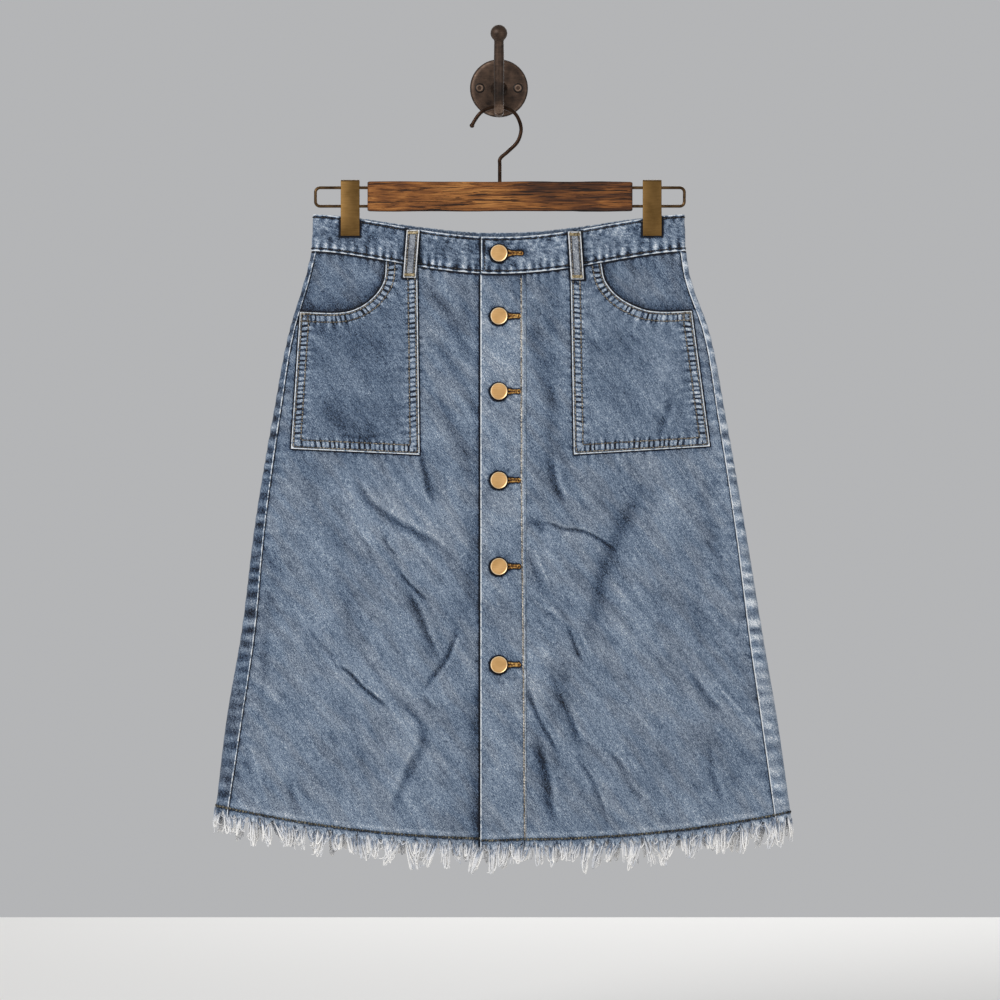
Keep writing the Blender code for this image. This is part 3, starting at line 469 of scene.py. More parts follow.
# Broad paler and darker streaks that no crease explains, the darker ones painted shade:
# half width, how much paler, and the path.
FRONT_STREAKS = (
    (8, -0.16, -197, -366, -186, -395, -173, -419, -157, -442, -149, -465),
    (9, -0.11, -165, -451, -157, -475, -149, -502, -141, -541, -135, -570),
    (7, -0.16, -78, -182, -59, -212, -45, -234, -32, -254, -21, -280),
    (6, -0.16, -73, -239, -51, -266, -33, -294, -21, -325),
    (7, -0.17, -74, -289, -57, -312, -44, -336, -31, -368, -24, -405),
    (7, -0.15, -36, -410, -25, -448, -30, -492, -24, -541),
    (6, -0.2, -21, -561, -24, -619, -25, -668, -21, -726, -20, -790),
    (48, -0.13, -150, -180, -145, -280, -150, -370),
    (5, -0.12, -220, -458, -226, -522, -230, -580, -237, -634),
    (6, -0.16, 39, -195, 34, -239, 41, -283, 52, -309, 62, -336),
    (7, -0.18, 49, -239, 51, -307, 49, -356),
    (7.5, -0.24, 147, -369, 137, -390, 130, -410, 120, -430, 110, -453, 101, -478, 97, -502, 91, -524,
     83, -542, 73, -559),
    (9, -0.15, 66, -556, 59, -590, 70, -614),
    (9, -0.14, 40, -600, 41, -658, 48, -726),
    (7, -0.10, 192, -387, 202, -410, 207, -434, 217, -469),
    (8, -0.11, 184, -488, 195, -520, 199, -546, 206, -568),
    (11, 0.05, -184, -478, -171, -512, -165, -541),
    (10, 0.04, -150, -405, -124, -434, -101, -448),
    (9, 0.06, -61, -639, -65, -673, -67, -712),
    (10, 0.05, -229, -405, -231, -444),
    (13, 0.06, 126, -473, 114, -522, 110, -580),
    (10, 0.05, 165, -385, 159, -424, 155, -463),
    (8, 0.05, 235, -385, 243, -424, 250, -463),
    (9, 0.05, 59, -356, 84, -385, 89, -414),
    (9, -0.09, -150, -239, -121, -254, -97, -263),
    (10, -0.08, -176, -307, -145, -336, -111, -346),
    (9, 0.06, -173, -268, -145, -292, -108, -307),
    (9, -0.07, 89, -239, 108, -254, 137, -258),
    (9, 0.06, 165, -260, 157, -292, 147, -327),
    (6, -0.11, 186, -268, 180, -302, 173, -332),
    (9, 0.05, 98, -307, 118, -332, 147, -341),
    (20, 0.12, 218, -262, 228, -350, 238, -450),
    (6, -0.2, 20, -170, 22, -198, 20, -216),
    (9, -0.14, 46, -172, 50, -212, 50, -262),
    (7, -0.18, -37, -170, -34, -205, -27, -244),
    (10, -0.12, -206, -370, -186, -380, -164, -392),
    (10, -0.12, -70, -346, -66, -378, -72, -410),
    (8, -0.12, 44, -332, 50, -350, 53, -368),
    (6, -0.15, 45, -594, 50, -612, 57, -630),
)
# The back's streaks: the darker ones are painted shade.
BACK_STREAKS = (
    (8, -0.16, -176, -330, -160, -372, -138, -412, -110, -448),
    (8, -0.2, 150, -350, 128, -402, 116, -460, 96, -500),
    (8, -0.1, 60, -250, 96, -270, 140, -276),
    (8, -0.12, -140, -240, -104, -262, -60, -268),
    (8, -0.12, -40, -300, -30, -380, -36, -460),
    (8, -0.12, 10, -560, 4, -620, 12, -690),
    (11, 0.06, -150, -460, -136, -510, -140, -560),
    (12, 0.06, 130, -520, 140, -580, 132, -640),
    (10, 0.06, 0, -230, 6, -290, 0, -350),
)
CREASE_TONE = 0.17  # paleness for each mm of a crease's height


def near_path(x, z, half_width, points):
    """Distance from a path over its half width, the side, and a taper at both ends of the path."""
    path = curve_through(np.reshape(points, (-1, 2)), 5)
    away, run, side = beside(x, z, path)
    length = run_lengths(path)[-1]
    taper = ease(run / (0.3 * length)) * ease((length - run) / (0.3 * length))
    return away / half_width, side, taper


def crease_height(x, z, creases, trough_width=1.0, ridge_size=0.5, ridge_place=1.6, ridge_width=0.9):
    """Troughs and their ridges: minus a bell on each path, plus part of another bell to its side."""
    total = np.zeros(np.broadcast(x, z).shape)
    for half_width, depth, ridge_side, *points in creases:
        away, side, taper = near_path(x, z, half_width, points)
        trough = -np.exp(-((away / trough_width) ** 2))
        ridge = abs(ridge_side) * np.exp(-((side * away * ridge_side - ridge_place) / ridge_width) ** 2)
        total = total + depth * taper * (trough + ridge_size * ridge)
    return total


def wear_and_shade_tone(x, z, creases, streaks):
    """Paleness from wear and painted shade: troughs print narrow and dark, ridges narrower and pale, streaks broad.
    """
    total = CREASE_TONE * crease_height(x, z, creases, 0.85, 0.42, 1.25, 0.55)
    for half_width, paler, *points in streaks:
        away, _, taper = near_path(x, z, half_width, points)
        total = total + paler * taper * np.exp(-(away**2))
    return total


def rumples(x, z, seed):
    """Small unevenness: two layers of smooth noise, drawn out down the cloth, 42 and 15 mm across."""
    slanted = x + 0.35 * z
    wide = value_noise(slanted / 42.0, z / 75.0, seed)
    narrow = value_noise(slanted / 15.0 + 7.3, z / 34.0, seed + 1)
    return 0.75 * wide + 0.3 * narrow


def fine_front(x, z):
    """What the front's cloth adds to its solid's form."""
    return crease_height(x, z, FRONT_CREASES) + rumples(x, z, 11)


def front_tone(x, z):
    """How much paler the front is at a point: creases and streaks, and a little for every fold and rumple."""
    # worn holds wear and painted shade, from the creases and the streaks.
    worn = wear_and_shade_tone(x, z, FRONT_CREASES, FRONT_STREAKS)
    return worn + 0.02 * relief(x, z, FRONT_FOLDS) + 0.03 * rumples(x, z, 11)


def front_surface(x, z, lift=0.0):
    """A point of the creased front, given in the flat front view."""
    points = front_point(x, z, lift)
    points[..., 1] -= fine_front(points[..., 0], points[..., 2])
    return points


print(f"{len(FRONT_CREASES)} creases in front and {len(BACK_CREASES)} behind")

# %% [markdown]
# ## A cloth wall from a grid
# Cloth has two faces and an edge. Solidify can add the second face, but a wall that is written out is just as
# short, and it lets the inner face have its own finish: denim is blue outside, where the dyed warp lies, and
# pale inside. The wall also carries marks, numbers kept at each point, such as the distance from a worn edge in
# millimetres, and the distance from a piece that lies on the cloth, for the painted shade beside it. The finish
# reads them, so lines of wear and of painted shade stay sharp on a coarse grid.


# %% Meshes from arrays
def unit(vectors):
    """Each vector divided by its length."""
    return vectors / np.linalg.norm(vectors, axis=-1, keepdims=True)


def grid_normals(points):
    """Outward directions of a grid: the step down the rows crossed with the step along the columns."""
    return unit(np.cross(np.gradient(points, axis=0), np.gradient(points, axis=1)))


def smooth_object(mesh, materials, sharp_angle):
    """A smooth-shaded object for a mesh, sharp where its faces meet at more than an angle."""
    for material in materials:
        mesh.materials.append(material)
    mesh.shade_smooth()
    mesh.set_sharp_from_angle(angle=math.radians(sharp_angle))
    return new_object(mesh.name, mesh)


def new_mesh_object(name, points, faces, materials, sharp_angle=50.0):
    """A smooth-shaded object from points in millimetres and their faces."""
    mesh = bpy.data.meshes.new(name)
    mesh.from_pydata((points.reshape(-1, 3) * MM).tolist(), [], faces.tolist())
    return smooth_object(mesh, materials, sharp_angle)


def triangles_of(thing):
    """How many triangles a piece has."""
    return sum(len(face.vertices) - 2 for face in thing.data.polygons)


def finish_piece(thing, slot, *nodes):
    """Lets a piece ride on the body and stand for the nodes it replaces; its slot is not used."""
    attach(thing, "root")
    if nodes:
        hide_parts(*nodes)
    print(f"{thing.name}: {triangles_of(thing)} triangles")
    return thing


def keep_mark(thing, name, values):
    """Stores one number for each point of the mesh."""
    values = np.asarray(values, np.float32).ravel()
    thing.data.attributes.new(name, "FLOAT", "POINT").data.foreach_set("value", values)


def keep_uv(thing, uv):
    """Stores a flat position, in metres, for each point of the mesh."""
    corners = np.empty(len(thing.data.loops), np.int32)
    thing.data.loops.foreach_get("vertex_index", corners)
    layer = thing.data.uv_layers.new(name="UVMap")
    layer.data.foreach_set("uv", uv.reshape(-1, 2)[corners].astype(np.float32).ravel())


FAR = 99.0  # a distance in mm at which nothing shows any more
INSIDE_MARKS = {"shade_mm": FAR, "tone": 0.0}  # the inner face is neither shaded nor rubbed


def cloth_wall(name, outer, thickness, uv, marks, materials):
    """A closed wall: the outer grid, the same grid moved in along its normals, and a rim between them."""
    rows, columns = outer.shape[:2]
    inner = outer - grid_normals(outer) * thickness
    index = np.arange(rows * columns).reshape(rows, columns)
    quads = np.stack([index[:-1, :-1], index[1:, :-1], index[1:, 1:], index[:-1, 1:]], -1).reshape(-1, 4)
    border = np.concatenate([index[:-1, 0], index[-1, :-1], index[:0:-1, -1], index[0, :0:-1]])
    following = np.roll(border, -1)
    count = rows * columns
    rim = np.stack([following, border, border + count, following + count], -1)
    faces = np.vstack([quads, quads[:, ::-1] + count, rim])
    thing = new_mesh_object(name, np.stack([outer, inner]), faces, materials)
    surface = np.zeros(len(faces), np.int32)
    surface[len(quads) : 2 * len(quads)] = len(materials) - 1
    thing.data.polygons.foreach_set("material_index", surface)
    keep_uv(thing, np.stack([uv, uv]) * MM)
    for mark, values in marks.items():
        outside = np.broadcast_to(values, (rows, columns))
        inside = np.full_like(outside, INSIDE_MARKS[mark]) if mark in INSIDE_MARKS else outside
        keep_mark(thing, mark, np.stack([outside, inside]))
    return thing


print("a wall needs its grid, thickness, flat positions, marks and materials")

# %% [markdown]
# ## Denim
# Denim's colour is one scale, from raw indigo to nearly white cotton, and wear and painted shade only move a spot
# along it. So the finish adds up one number, its paleness: fine flecks of twill that slant down to the right,
# softer streaks and clouds, the tone of each fold, partly wear and partly painted shade, the marks at edges and
# sewn rows, with painted shade in the furrows, and painted shade beside what lies on the cloth. A ramp then turns
# the number into a colour. Mixing many colours instead would let the hues drift apart. The same flecks drive a
# fine bump.

# %% A short way to write nodes
def srgb(red, green, blue):
    """A screen colour, 0 to 255, as the linear colour that shaders use."""
    share = np.array([red, green, blue]) / 255
    linear = np.where(share <= 0.04045, share / 12.92, ((share + 0.055) / 1.055) ** 2.4)
    return tuple(float(c) for c in linear)


def add_node(tree, kind, inputs=(), output=0, **settings):
    """A node with its settings and inputs, as the number that one of its outputs gives."""
    node = tree.nodes.new(kind)
    for name, value in settings.items():
        setattr(node, name, value)
    for name, value in dict(inputs).items():
        if isinstance(value, Number):
            tree.links.new(value.socket, node.inputs[name])
        else:
            node.inputs[name].default_value = value
    return Number(tree, node.outputs[output])


class Number:
    """A number that a node gives; arithmetic on it adds Math nodes."""

    def __init__(self, tree, socket):
        self.tree, self.socket = tree, socket

    def calc(self, operation, *others):
        """One step of arithmetic with other numbers."""
        return add_node(self.tree, "ShaderNodeMath", enumerate((self, *others)), operation=operation)

    def __add__(self, other):
        return self.calc("ADD", other)

    def __sub__(self, other):
        return self.calc("SUBTRACT", other)

    def __mul__(self, other):
        return self.calc("MULTIPLY", other)

    def __abs__(self):
        return self.calc("ABSOLUTE")

    def fade(self, full, none):
        """1 where the number is at full, 0 where it is at none, eased between."""
        inputs = {"Value": self, "From Min": none, "From Max": full}
        return add_node(self.tree, "ShaderNodeMapRange", inputs, interpolation_type="SMOOTHSTEP")

    def ramp(self, stops):
        """A colour for each value, from stops of position and screen colour."""
        colour = add_node(self.tree, "ShaderNodeValToRGB", {"Fac": self})
        elements = colour.socket.node.color_ramp.elements
        while len(elements) < len(stops):
            elements.new(0.5)
        for element, (position, screen_colour) in zip(elements, stops):
            element.position = position
            element.color = (*srgb(*screen_colour), 1.0)
        return colour


def mark_value(tree, name):
    """A mark kept at the mesh's points."""
    return add_node(tree, "ShaderNodeAttribute", output="Fac", attribute_name=name)


def flat_place(tree):
    """The flat position of the cloth, in millimetres."""
    flat = add_node(tree, "ShaderNodeUVMap", uv_map="UVMap")
    return add_node(tree, "ShaderNodeVectorMath", {0: flat, "Scale": 1000.0}, operation="SCALE")


def flat_noise(place, width, length, angle=0.0, detail=1.0, shift=0.0):
    """Noise about 0: features so wide and so long, in millimetres, leaning by an angle in degrees."""
    turned = {"Vector": place, "Location": (shift, shift, 0), "Rotation": (0, 0, math.radians(angle))}
    turned["Scale"] = (width, length, 1)
    spot = add_node(place.tree, "ShaderNodeMapping", turned, vector_type="TEXTURE")
    inputs = {"Vector": spot, "Scale": 1.0, "Detail": detail, "Roughness": 0.6}
    return add_node(place.tree, "ShaderNodeTexNoise", inputs, noise_dimensions="2D") - 0.5


def solid_noise(tree, detail, scale=1.0, drawn_out=None, **inputs):
    """Noise from 0 to 1 that is fixed in the piece; drawn_out is what a Mapping node does to its place."""
    place = add_node(tree, "ShaderNodeTexCoord", output="Object")
    if drawn_out:
        place = add_node(tree, "ShaderNodeMapping", {"Vector": place, **drawn_out})
    return add_node(tree, "ShaderNodeTexNoise", {"Vector": place, "Scale": scale, "Detail": detail, **inputs})


def give_colour(shader, colour, relief_value=None, strength=0.5, distance=0.0):
    """Links a colour to the shader, and a bump so many metres high from another number."""
    tree = colour.tree
    tree.links.new(colour.socket, shader.inputs["Base Color"])
    if relief_value:
        inputs = {"Height": relief_value, "Strength": strength, "Distance": distance}
        tree.links.new(add_node(tree, "ShaderNodeBump", inputs).socket, shader.inputs["Normal"])


print("screen grey 128 is linear", round(srgb(128, 128, 128)[0], 3))

# %% The denim finish
INDIGO_STOPS = (
    (0.0, (13, 19, 30)),
    (0.1, (34, 47, 66)),
    (0.25, (58, 75, 98)),
    (0.5, (104, 120, 140)),
    (0.75, (149, 163, 180)),
    (1.0, (220, 225, 230)),
)
GREYED_STOPS = (
    (0.0, (20, 20, 24)),
    (0.1, (46, 50, 57)),
    (0.25, (76, 82, 92)),
    (0.5, (116, 121, 130)),
    (0.75, (156, 161, 168)),
    (1.0, (224, 225, 226)),
)
TWILL_LEAN = 35.0  # degrees between the flecks and straight down
HEM_ROW = 5.7  # the hem's sewn row above the raw edge
SEWN_ROWS = (2.0, 8.9)  # a patch pocket's two rows, from its edge
# Noises that every denim has: width, length, lean in degrees, detail, shift, and how much paler they make it.
CLOUDS = (
    (3.2, 14.0, TWILL_LEAN - 8, 1.0, 57.0, 0.20),
    (7.0, 40.0, 40.0, 2.0, 29.0, 0.3),
    (16.0, 75.0, 42.0, 1.0, 61.0, 0.18),
    (80.0, 110.0, 20.0, 1.0, 11.0, 0.14),
)


def band_rungs(edge_mm, run_mm, along_edge, first, last, pitch, amount):
    """Dark and pale rungs across a pocket's sewn band, and fainter ones beyond it, from a sine that wanders."""
    lean = edge_mm * 0.16 + flat_noise(along_edge, 16.0, 40.0) * 7.0
    rungs = (run_mm * (2 * math.pi / pitch) + lean).calc("SINE").fade(-0.75, 0.35)
    rungs = rungs * (flat_noise(along_edge, 9.0, 30.0, 0.0, 1.0, 19.0) * 2.2 + 0.85)
    in_band = edge_mm.fade(first + 1.0, first) * edge_mm.fade(last - 0.8, last + 0.2)
    beyond = edge_mm.fade(last + 0.6, last - 0.4) * edge_mm.fade(last + 0.8, last + 5.0)
    return (rungs * -1.3 + 0.5) * in_band * amount + (rungs * -0.7 + 0.3) * beyond * amount


def hem_fray(tree, run_mm):
    """A paler raw edge with dark slits, and painted shade in a furrow and a pale ridge along the hem's sewn row."""
    fray_mm = mark_value(tree, "fray_mm")
    frayed = fray_mm.fade(0.0, 5.0)
    slits = flat_noise(add_node(tree, "ShaderNodeCombineXYZ", {0: run_mm, 1: fray_mm}), 2.2, 14.0, 6.0)
    furrow = abs(fray_mm - (HEM_ROW - 0.2)).fade(0.6, 1.8)
    ridge = abs(fray_mm - (HEM_ROW + 4.5)).fade(0.5, 3.2)
    return frayed * 0.38 + frayed * slits.fade(-0.18, -0.03) * -0.6 + furrow * -0.34 + ridge * 0.12


def denim(name, pale=0.5, mottle=(0.13, 12.0, 17.0, 20.0), edge=0.5, edge_width=1.0, rows=(), furrow_shade=0.3,
          band=None, hem=False, sewn=False, greying=0.3, stops=INDIGO_STOPS):
    """Paleness = base + tone + flecks + clouds + worn edge - painted shade in furrows and beside what lies on it.

    A pocket's band adds rungs and a hem its fray, and greying mixes in patches of the grey ramp.
    """
    material, tree, shader = new_material(
        name, Roughness=0.88, Specular_IOR_Level=0.25, Sheen_Weight=0.12, Sheen_Roughness=0.5)
    place = flat_place(tree)
    edge_mm, run_mm, shade_mm = (mark_value(tree, mark) for mark in ("edge_mm", "run_mm", "shade_mm"))
    along_edge = add_node(tree, "ShaderNodeCombineXYZ", {0: run_mm, 1: edge_mm})
    flecks = flat_noise(place, 0.95, 3.4, TWILL_LEAN)
    grain = flat_noise(place, 0.7, 1.2, TWILL_LEAN, 0.0, 31.0)
    mottle_amount, *mottle_size = mottle
    paleness = mark_value(tree, "tone") + pale + flecks * 0.62 + grain * 0.62
    for *noise, amount in (*CLOUDS, (*mottle_size, 2.0, 83.0, mottle_amount)):
        paleness += flat_noise(place, *noise) * amount
    # Thin dark lines that stand for fine wrinkles: painted shade.
    lines = abs(flat_noise(place, 15.0, 55.0, 40.0, 1.0, 71.0)).fade(0.0, 0.03)
    paleness += lines * flat_noise(place, 50.0, 70.0, 0.0, 0.0, 43.0).fade(0.06, -0.1) * -0.1
    wear_and_painted_light = flat_noise(along_edge, 4.0, 3.0) * 2.6 + 1.0
    paleness += edge_mm.fade(0.65 * edge_width, edge_width) * wear_and_painted_light * edge
    soft_shade = (shade_mm.calc("MAXIMUM", 0.0) * -0.3).calc("EXPONENT")
    paleness += shade_mm.fade(0.5, 2.3) * -0.55 + soft_shade * -0.2
    # Painted shade in the furrows of the sewn rows.
    for row in rows:
        paleness += abs(edge_mm - row).fade(0.4, 1.5) * -furrow_shade
    if band:
        paleness += band_rungs(edge_mm, run_mm, along_edge, *band)
    if sewn:
        # Painted shade in the groove of the placket's sewn row, and a pale line beside it.
        sewn_mm = mark_value(tree, "sewn_mm")
        paleness += abs(sewn_mm).fade(0.4, 1.7) * -0.2 + abs(sewn_mm - 1.3).fade(0.2, 0.8) * 0.4
    if hem:
        paleness += hem_fray(tree, run_mm)
    greyer = flat_noise(place, 15.0, 60.0, 38.0, 1.0, 97.0).fade(0.16, -0.1) * greying
    ramps = {0: greyer, 6: paleness.ramp(stops), 7: paleness.ramp(GREYED_STOPS)}
    colour = add_node(tree, "ShaderNodeMix", ramps, output=2, data_type="RGBA")
    give_colour(shader, colour, flecks + grain * 0.6, 0.55, 0.0011)
    return material


denim_panel = denim("denim_panel", pale=0.51, edge=0.55, edge_width=1.25, hem=True)
denim_placket = denim("denim_placket", pale=0.6, edge=0.55, edge_width=1.25, hem=True, sewn=True)
denim_pocket = denim("denim_pocket", pale=0.47, edge=0.62, edge_width=1.1, rows=SEWN_ROWS,
                     band=(*SEWN_ROWS, 4.8, 0.5), greying=0.05)
denim_waistband = denim("denim_waistband", pale=0.48, mottle=(0.75, 2.6, 8.5, 72.0), edge=0.52, rows=(2.5,),
                        furrow_shade=0.45, greying=0.1)
# The waistband's inner face is darker than its outer face: painted shade.
denim_waistband_lining = denim("denim_waistband_lining", pale=0.36, mottle=(0.4, 4.0, 8.0, 60.0), edge=0.3)
denim_loop = denim("denim_loop", pale=0.6, edge=0.55, rows=(2.3,), furrow_shade=0.5, stops=GREYED_STOPS)


# %% The inner face of denim
def denim_inside_material():
    """The undyed weft: pale grey with the same slanted flecks, leaning the other way."""
    material, tree, shader = new_material("denim_inside", Roughness=0.92, Specular_IOR_Level=0.2)
    place = flat_place(tree)
    flecks = flat_noise(place, 1.3, 4.0, -TWILL_LEAN)
    value = flecks * 1.3 + 0.5 + flat_noise(place, 25.0, 40.0, 0.0, 2.0, 40.0) * 0.6
    stops = ((0.0, (78, 86, 100)), (0.5, (128, 135, 147)), (1.0, (182, 187, 194)))
    give_colour(shader, value.ramp(stops), flecks, 0.5, 0.0009)
    return material


denim_inside = denim_inside_material()
print("denim finishes:", [m.name for m in bpy.data.materials if m.name.startswith("denim")])

# %% [markdown]
# ## The two front panels
# Each front is one flat piece, cut with a flare. The right one runs on under the placket as the button band.
# The grid has a row every 2 mm or so. On top of the form go the creases, and puckers beside each of the lines
# that the panel is sewn along: the side seam, the waist seam, the pocket, the placket and the hem. Puckers also
# change the tone, because stone washing rubs their crests pale first.

# %% Pocket outlines, which the panels need too
POCKETS = {
    "pocket_right": {
        "opening": ((-110.2, -171.5), (-112.3, -191), (-123, -207), (-139.6, -218), (-159, -222), (-194.2, -221)),
        "inner_top": (-80.0, -176.0),
        "inner_bottom": (-77.5, -360.4),
        "outer_bottom": (-203.0, -354.4),
    },
    "pocket_left": {
        "opening": ((99.7, -173.5), (103.8, -191), (117.5, -207), (139.4, -218), (160, -221), (188.1, -220)),
        "inner_top": (70.0, -179.0),
        "inner_bottom": (73.1, -360.1),
        "outer_bottom": (205.9, -352.0),
    },
}
POCKET_LIFT, POCKET_CORNER_SHARE = 0.4, 0.5
for pocket in POCKETS.values():
    pocket["opening"] = curve_through(pocket["opening"], 8)
    corners = [pocket["outer_bottom"], pocket["inner_bottom"], pocket["inner_top"]]
    pocket["loop"] = np.vstack([pocket["opening"], corners])  # once round, starting along the opening


def in_opening(x, z, pocket):
    """1 over the bare front that a pocket's opening leaves showing, 0 elsewhere."""
    across, floor_z = pocket["opening"][np.argsort(pocket["opening"][:, 0])].T
    beside_opening = (x > across[0] - 4) & (x < across[-1] + 4)
    return (beside_opening & (z > np.interp(x, across, floor_z))).astype(float)


def outside_pocket(x, z, pocket):
    """Distance outwards from a pocket's edge, below zero under the pocket, and the run along that edge."""
    loop = pocket["loop"]
    away, run, _ = beside(x, z, loop)
    ends = np.roll(loop, -1, axis=0)
    above = (loop[:, 1] > z[..., None]) != (ends[:, 1] > z[..., None])
    rise = np.where(ends[:, 1] == loop[:, 1], 1e-9, ends[:, 1] - loop[:, 1])
    crossing_x = loop[:, 0] + (z[..., None] - loop[:, 1]) * (ends[:, 0] - loop[:, 0]) / rise
    inside = (above & (x[..., None] < crossing_x)).sum(axis=-1) % 2 == 1
    return np.where(inside, -away, away), run


def outside_strip(x, z, left, right, bottom):
    """Distance outwards from an upright strip that ends at a height, below zero under the strip."""
    return np.maximum(np.maximum(left - x, x - right), bottom - z)


# Name, side, x at the top and at the foot.
BELT_LOOPS = (
    ("belt_loop_front_right", "front", -83.8, -87.4),
    ("belt_loop_front_left", "front", 73.6, 76.6),
    ("belt_loop_back_right", "back", -100.0, -102.0),
    ("belt_loop_back_centre", "back", 0.0, 0.0),
    ("belt_loop_back_left", "back", 100.0, 102.0),
)
BELT_LOOP_WIDTH, LOOP_BELOW_EDGE, LOOP_OVERHANG = 12.2, 1.2, 12.5
CLIP_X, CLIP_HALF_WIDTH, CLIP_BOTTOM_Z = (-145.4, 149.7), 9.2, -146.6


def under_fittings(x, z, side):
    """Distance outwards from the nearest belt loop or hanger clip on one side of the skirt."""
    nearest = np.full(np.shape(x), FAR)
    for top_x, foot_x in [row[2:] for row in BELT_LOOPS if row[1] == side]:
        foot_z = height(foot_x, 0.0, side) - LOOP_OVERHANG
        share_up = np.clip((z - foot_z) / (WAISTBAND_HEIGHT + LOOP_OVERHANG), 0, 1)
        middle = foot_x + (top_x - foot_x) * share_up
        strip = outside_strip(x, z, middle - BELT_LOOP_WIDTH / 2, middle + BELT_LOOP_WIDTH / 2, foot_z)
        nearest = np.minimum(nearest, strip)
    for clip_x in CLIP_X:
        strip = outside_strip(x, z, clip_x - CLIP_HALF_WIDTH, clip_x + CLIP_HALF_WIDTH, CLIP_BOTTOM_Z)
        nearest = np.minimum(nearest, strip)
    return nearest


for name, pocket in POCKETS.items():
    print(name, f"outline {run_lengths(pocket['loop'])[-1]:.0f} mm")

# %% Front panels
FRONT_ROWS, FRONT_COLUMNS, BEHIND_PLACKET_COLUMNS = 286, 112, 9


def sewn_in(x, z, sewn_lines, pocket):
    """Height and tone of the puckers beside every sewn line, and the distance outwards from the pocket."""
    pucker_height = np.zeros_like(x)
    tone = front_tone(x, z)
    for distance, run, pitch, reach, size, contrast, seed in sewn_lines:
        wave = puckers(distance, run, pitch, reach, seed)
        pucker_height += size * wave
        tone = tone + contrast * wave
    outside, run = outside_pocket(x, z, pocket)
    opening = in_opening(x, z, pocket)
    wave = puckers(outside, run, 8.2, 5.0, 71) * (1 - opening)
    # The bare front inside the pocket's opening is darker, partly less worn cloth and partly painted shade that is
    # deepest along the opening's edge.
    tone = tone + 0.2 * wave - opening * (0.11 + 0.26 * np.exp(-np.maximum(outside, 0.0) / 5.0))
    return pucker_height + 0.3 * wave, tone, outside


# The raw edge frays into tabs this wide, which hang this low, with notches this high between them.
TUFT_PITCH, TAB_HANG, TAB_RISE = 11.7, 3.2, 7.4
FRAY_FADE = 6.0  # how far above the raw edge the cloth still follows it


def tab_count(run):
    """How many tabs lie before a place on the hem; it is a whole number in each notch."""
    return (run + 2.5 * value_noise(run / 17.0, 0.0, 35)) / TUFT_PITCH


def notches(run):
    """1 in the middle of each notch between two tabs, 0 on the tabs."""
    return (0.5 + 0.5 * np.cos(2 * math.pi * tab_count(run))) ** 2


def tab_rise(run):
    """How far the raw edge has worn up: round tabs with notches between them, uneven in width and height."""
    uneven = 0.7 + 0.3 * value_noise(run / 9.0, 2.0, 36)
    return TAB_RISE * notches(run) * uneven - TAB_HANG + 0.7 * value_noise(run / 1.9, 0.0, 34)


def fray(points, run, above_hem):
    """Moves a grid's lowest points to the worn edge, and gives its notches a painted shade."""
    near = ease(1 - above_hem / FRAY_FADE)
    points[..., 2] += tab_rise(run) * near
    return -0.4 * notches(run) * near


def front_panel(name, node, x, pocket, seam, sink, placket_line):
    """One front: a grid with a row of x for every row of v, moved out by creases and puckers."""
    points = cloth_point(x, np.linspace(0, 1, FRONT_ROWS)[:, None], "front")
    z = points[..., 2]  # a view, so it follows when fray() moves the lowest points
    below_waist, above_hem = below_waist_seam(x, z), above_raw_edge(x, z)
    from_seam = np.abs(x - seam)
    from_placket = np.abs(x - placket_line)
    sewn_lines = (
        (from_seam, -z, 13.6, 8.0, 0.9, 0.16, 21),
        (below_waist, x, 8.6, 6.0, 0.6, 0.42, 23),
        (below_waist, x, 19.0, 16.0, 0.6, 0.09, 25),
        (from_placket, -z, 24.0, 11.0, 0.5, 0.07, 27),
        (above_hem - HEM_ROW, x, 10.5, 5.0, 0.5, 0.07, 29),
    )
    pucker_height, tone, outside = sewn_in(x, z, sewn_lines, pocket)
    points[..., 1] += sink - fine_front(x, z) - pucker_height
    under_placket = float(sink.max() > 0)
    # Painted shade on the right front beside the placket's free edge.
    tone = tone - 0.1 * ease(1 - from_placket / 9.0) * under_placket + fray(points, x, above_hem)
    placket_side = np.where(under_placket, placket_line - x - 0.5, FAR)
    covers = (outside, below_waist - 0.4, placket_side, from_seam + 0.6, under_fittings(x, z, "front") - 0.6)
    marks = {
        "tone": tone,
        "edge_mm": from_seam + 1.2,
        "run_mm": x,
        "shade_mm": np.min(covers, axis=0),
        "fray_mm": above_hem,
    }
    thing = cloth_wall(name, points, DENIM, np.stack([x, z], -1), marks, (denim_panel, denim_inside))
    return finish_piece(thing, "denim", node), points


left_seam, right_seam = seam_x(np.linspace(0, 1, FRONT_ROWS)[:, None])
hidden = np.linspace(PLACKET_X[0] + 3, UNDERLAP_END_X, BEHIND_PLACKET_COLUMNS)
shown = left_seam + (PLACKET_X[0] + 1 - left_seam) * np.linspace(0, 1, FRONT_COLUMNS)[None, :]
x = np.hstack([shown, np.broadcast_to(hidden, (FRONT_ROWS, BEHIND_PLACKET_COLUMNS))])
sink = underlap_sink(x, PLACKET_WALL + PARTING - PROUD)
front_right, front_right_points = front_panel(
    "front_right_denim", "front_right_panel", x, POCKETS["pocket_right"], left_seam, sink, PLACKET_X[0])

inner_edge = PLACKET_X[1] + PARTING
x = inner_edge + (right_seam - PARTING - inner_edge) * np.linspace(0, 1, FRONT_COLUMNS - 6)[None, :]
front_left, front_left_points = front_panel(
    "front_left_denim", "front_left_panel", x, POCKETS["pocket_left"], right_seam, np.zeros_like(x), PLACKET_X[1])

# %% [markdown]
# ## The placket
# The placket is a double band with the buttonholes, sewn to the left front and lapping over the right one. It
# is thick and stiff, so it takes the big creases but few rumples of its own. Around each button the cloth is
# drawn in. Its free edge is rubbed nearly white, and a single row of sewing runs down its inner side.

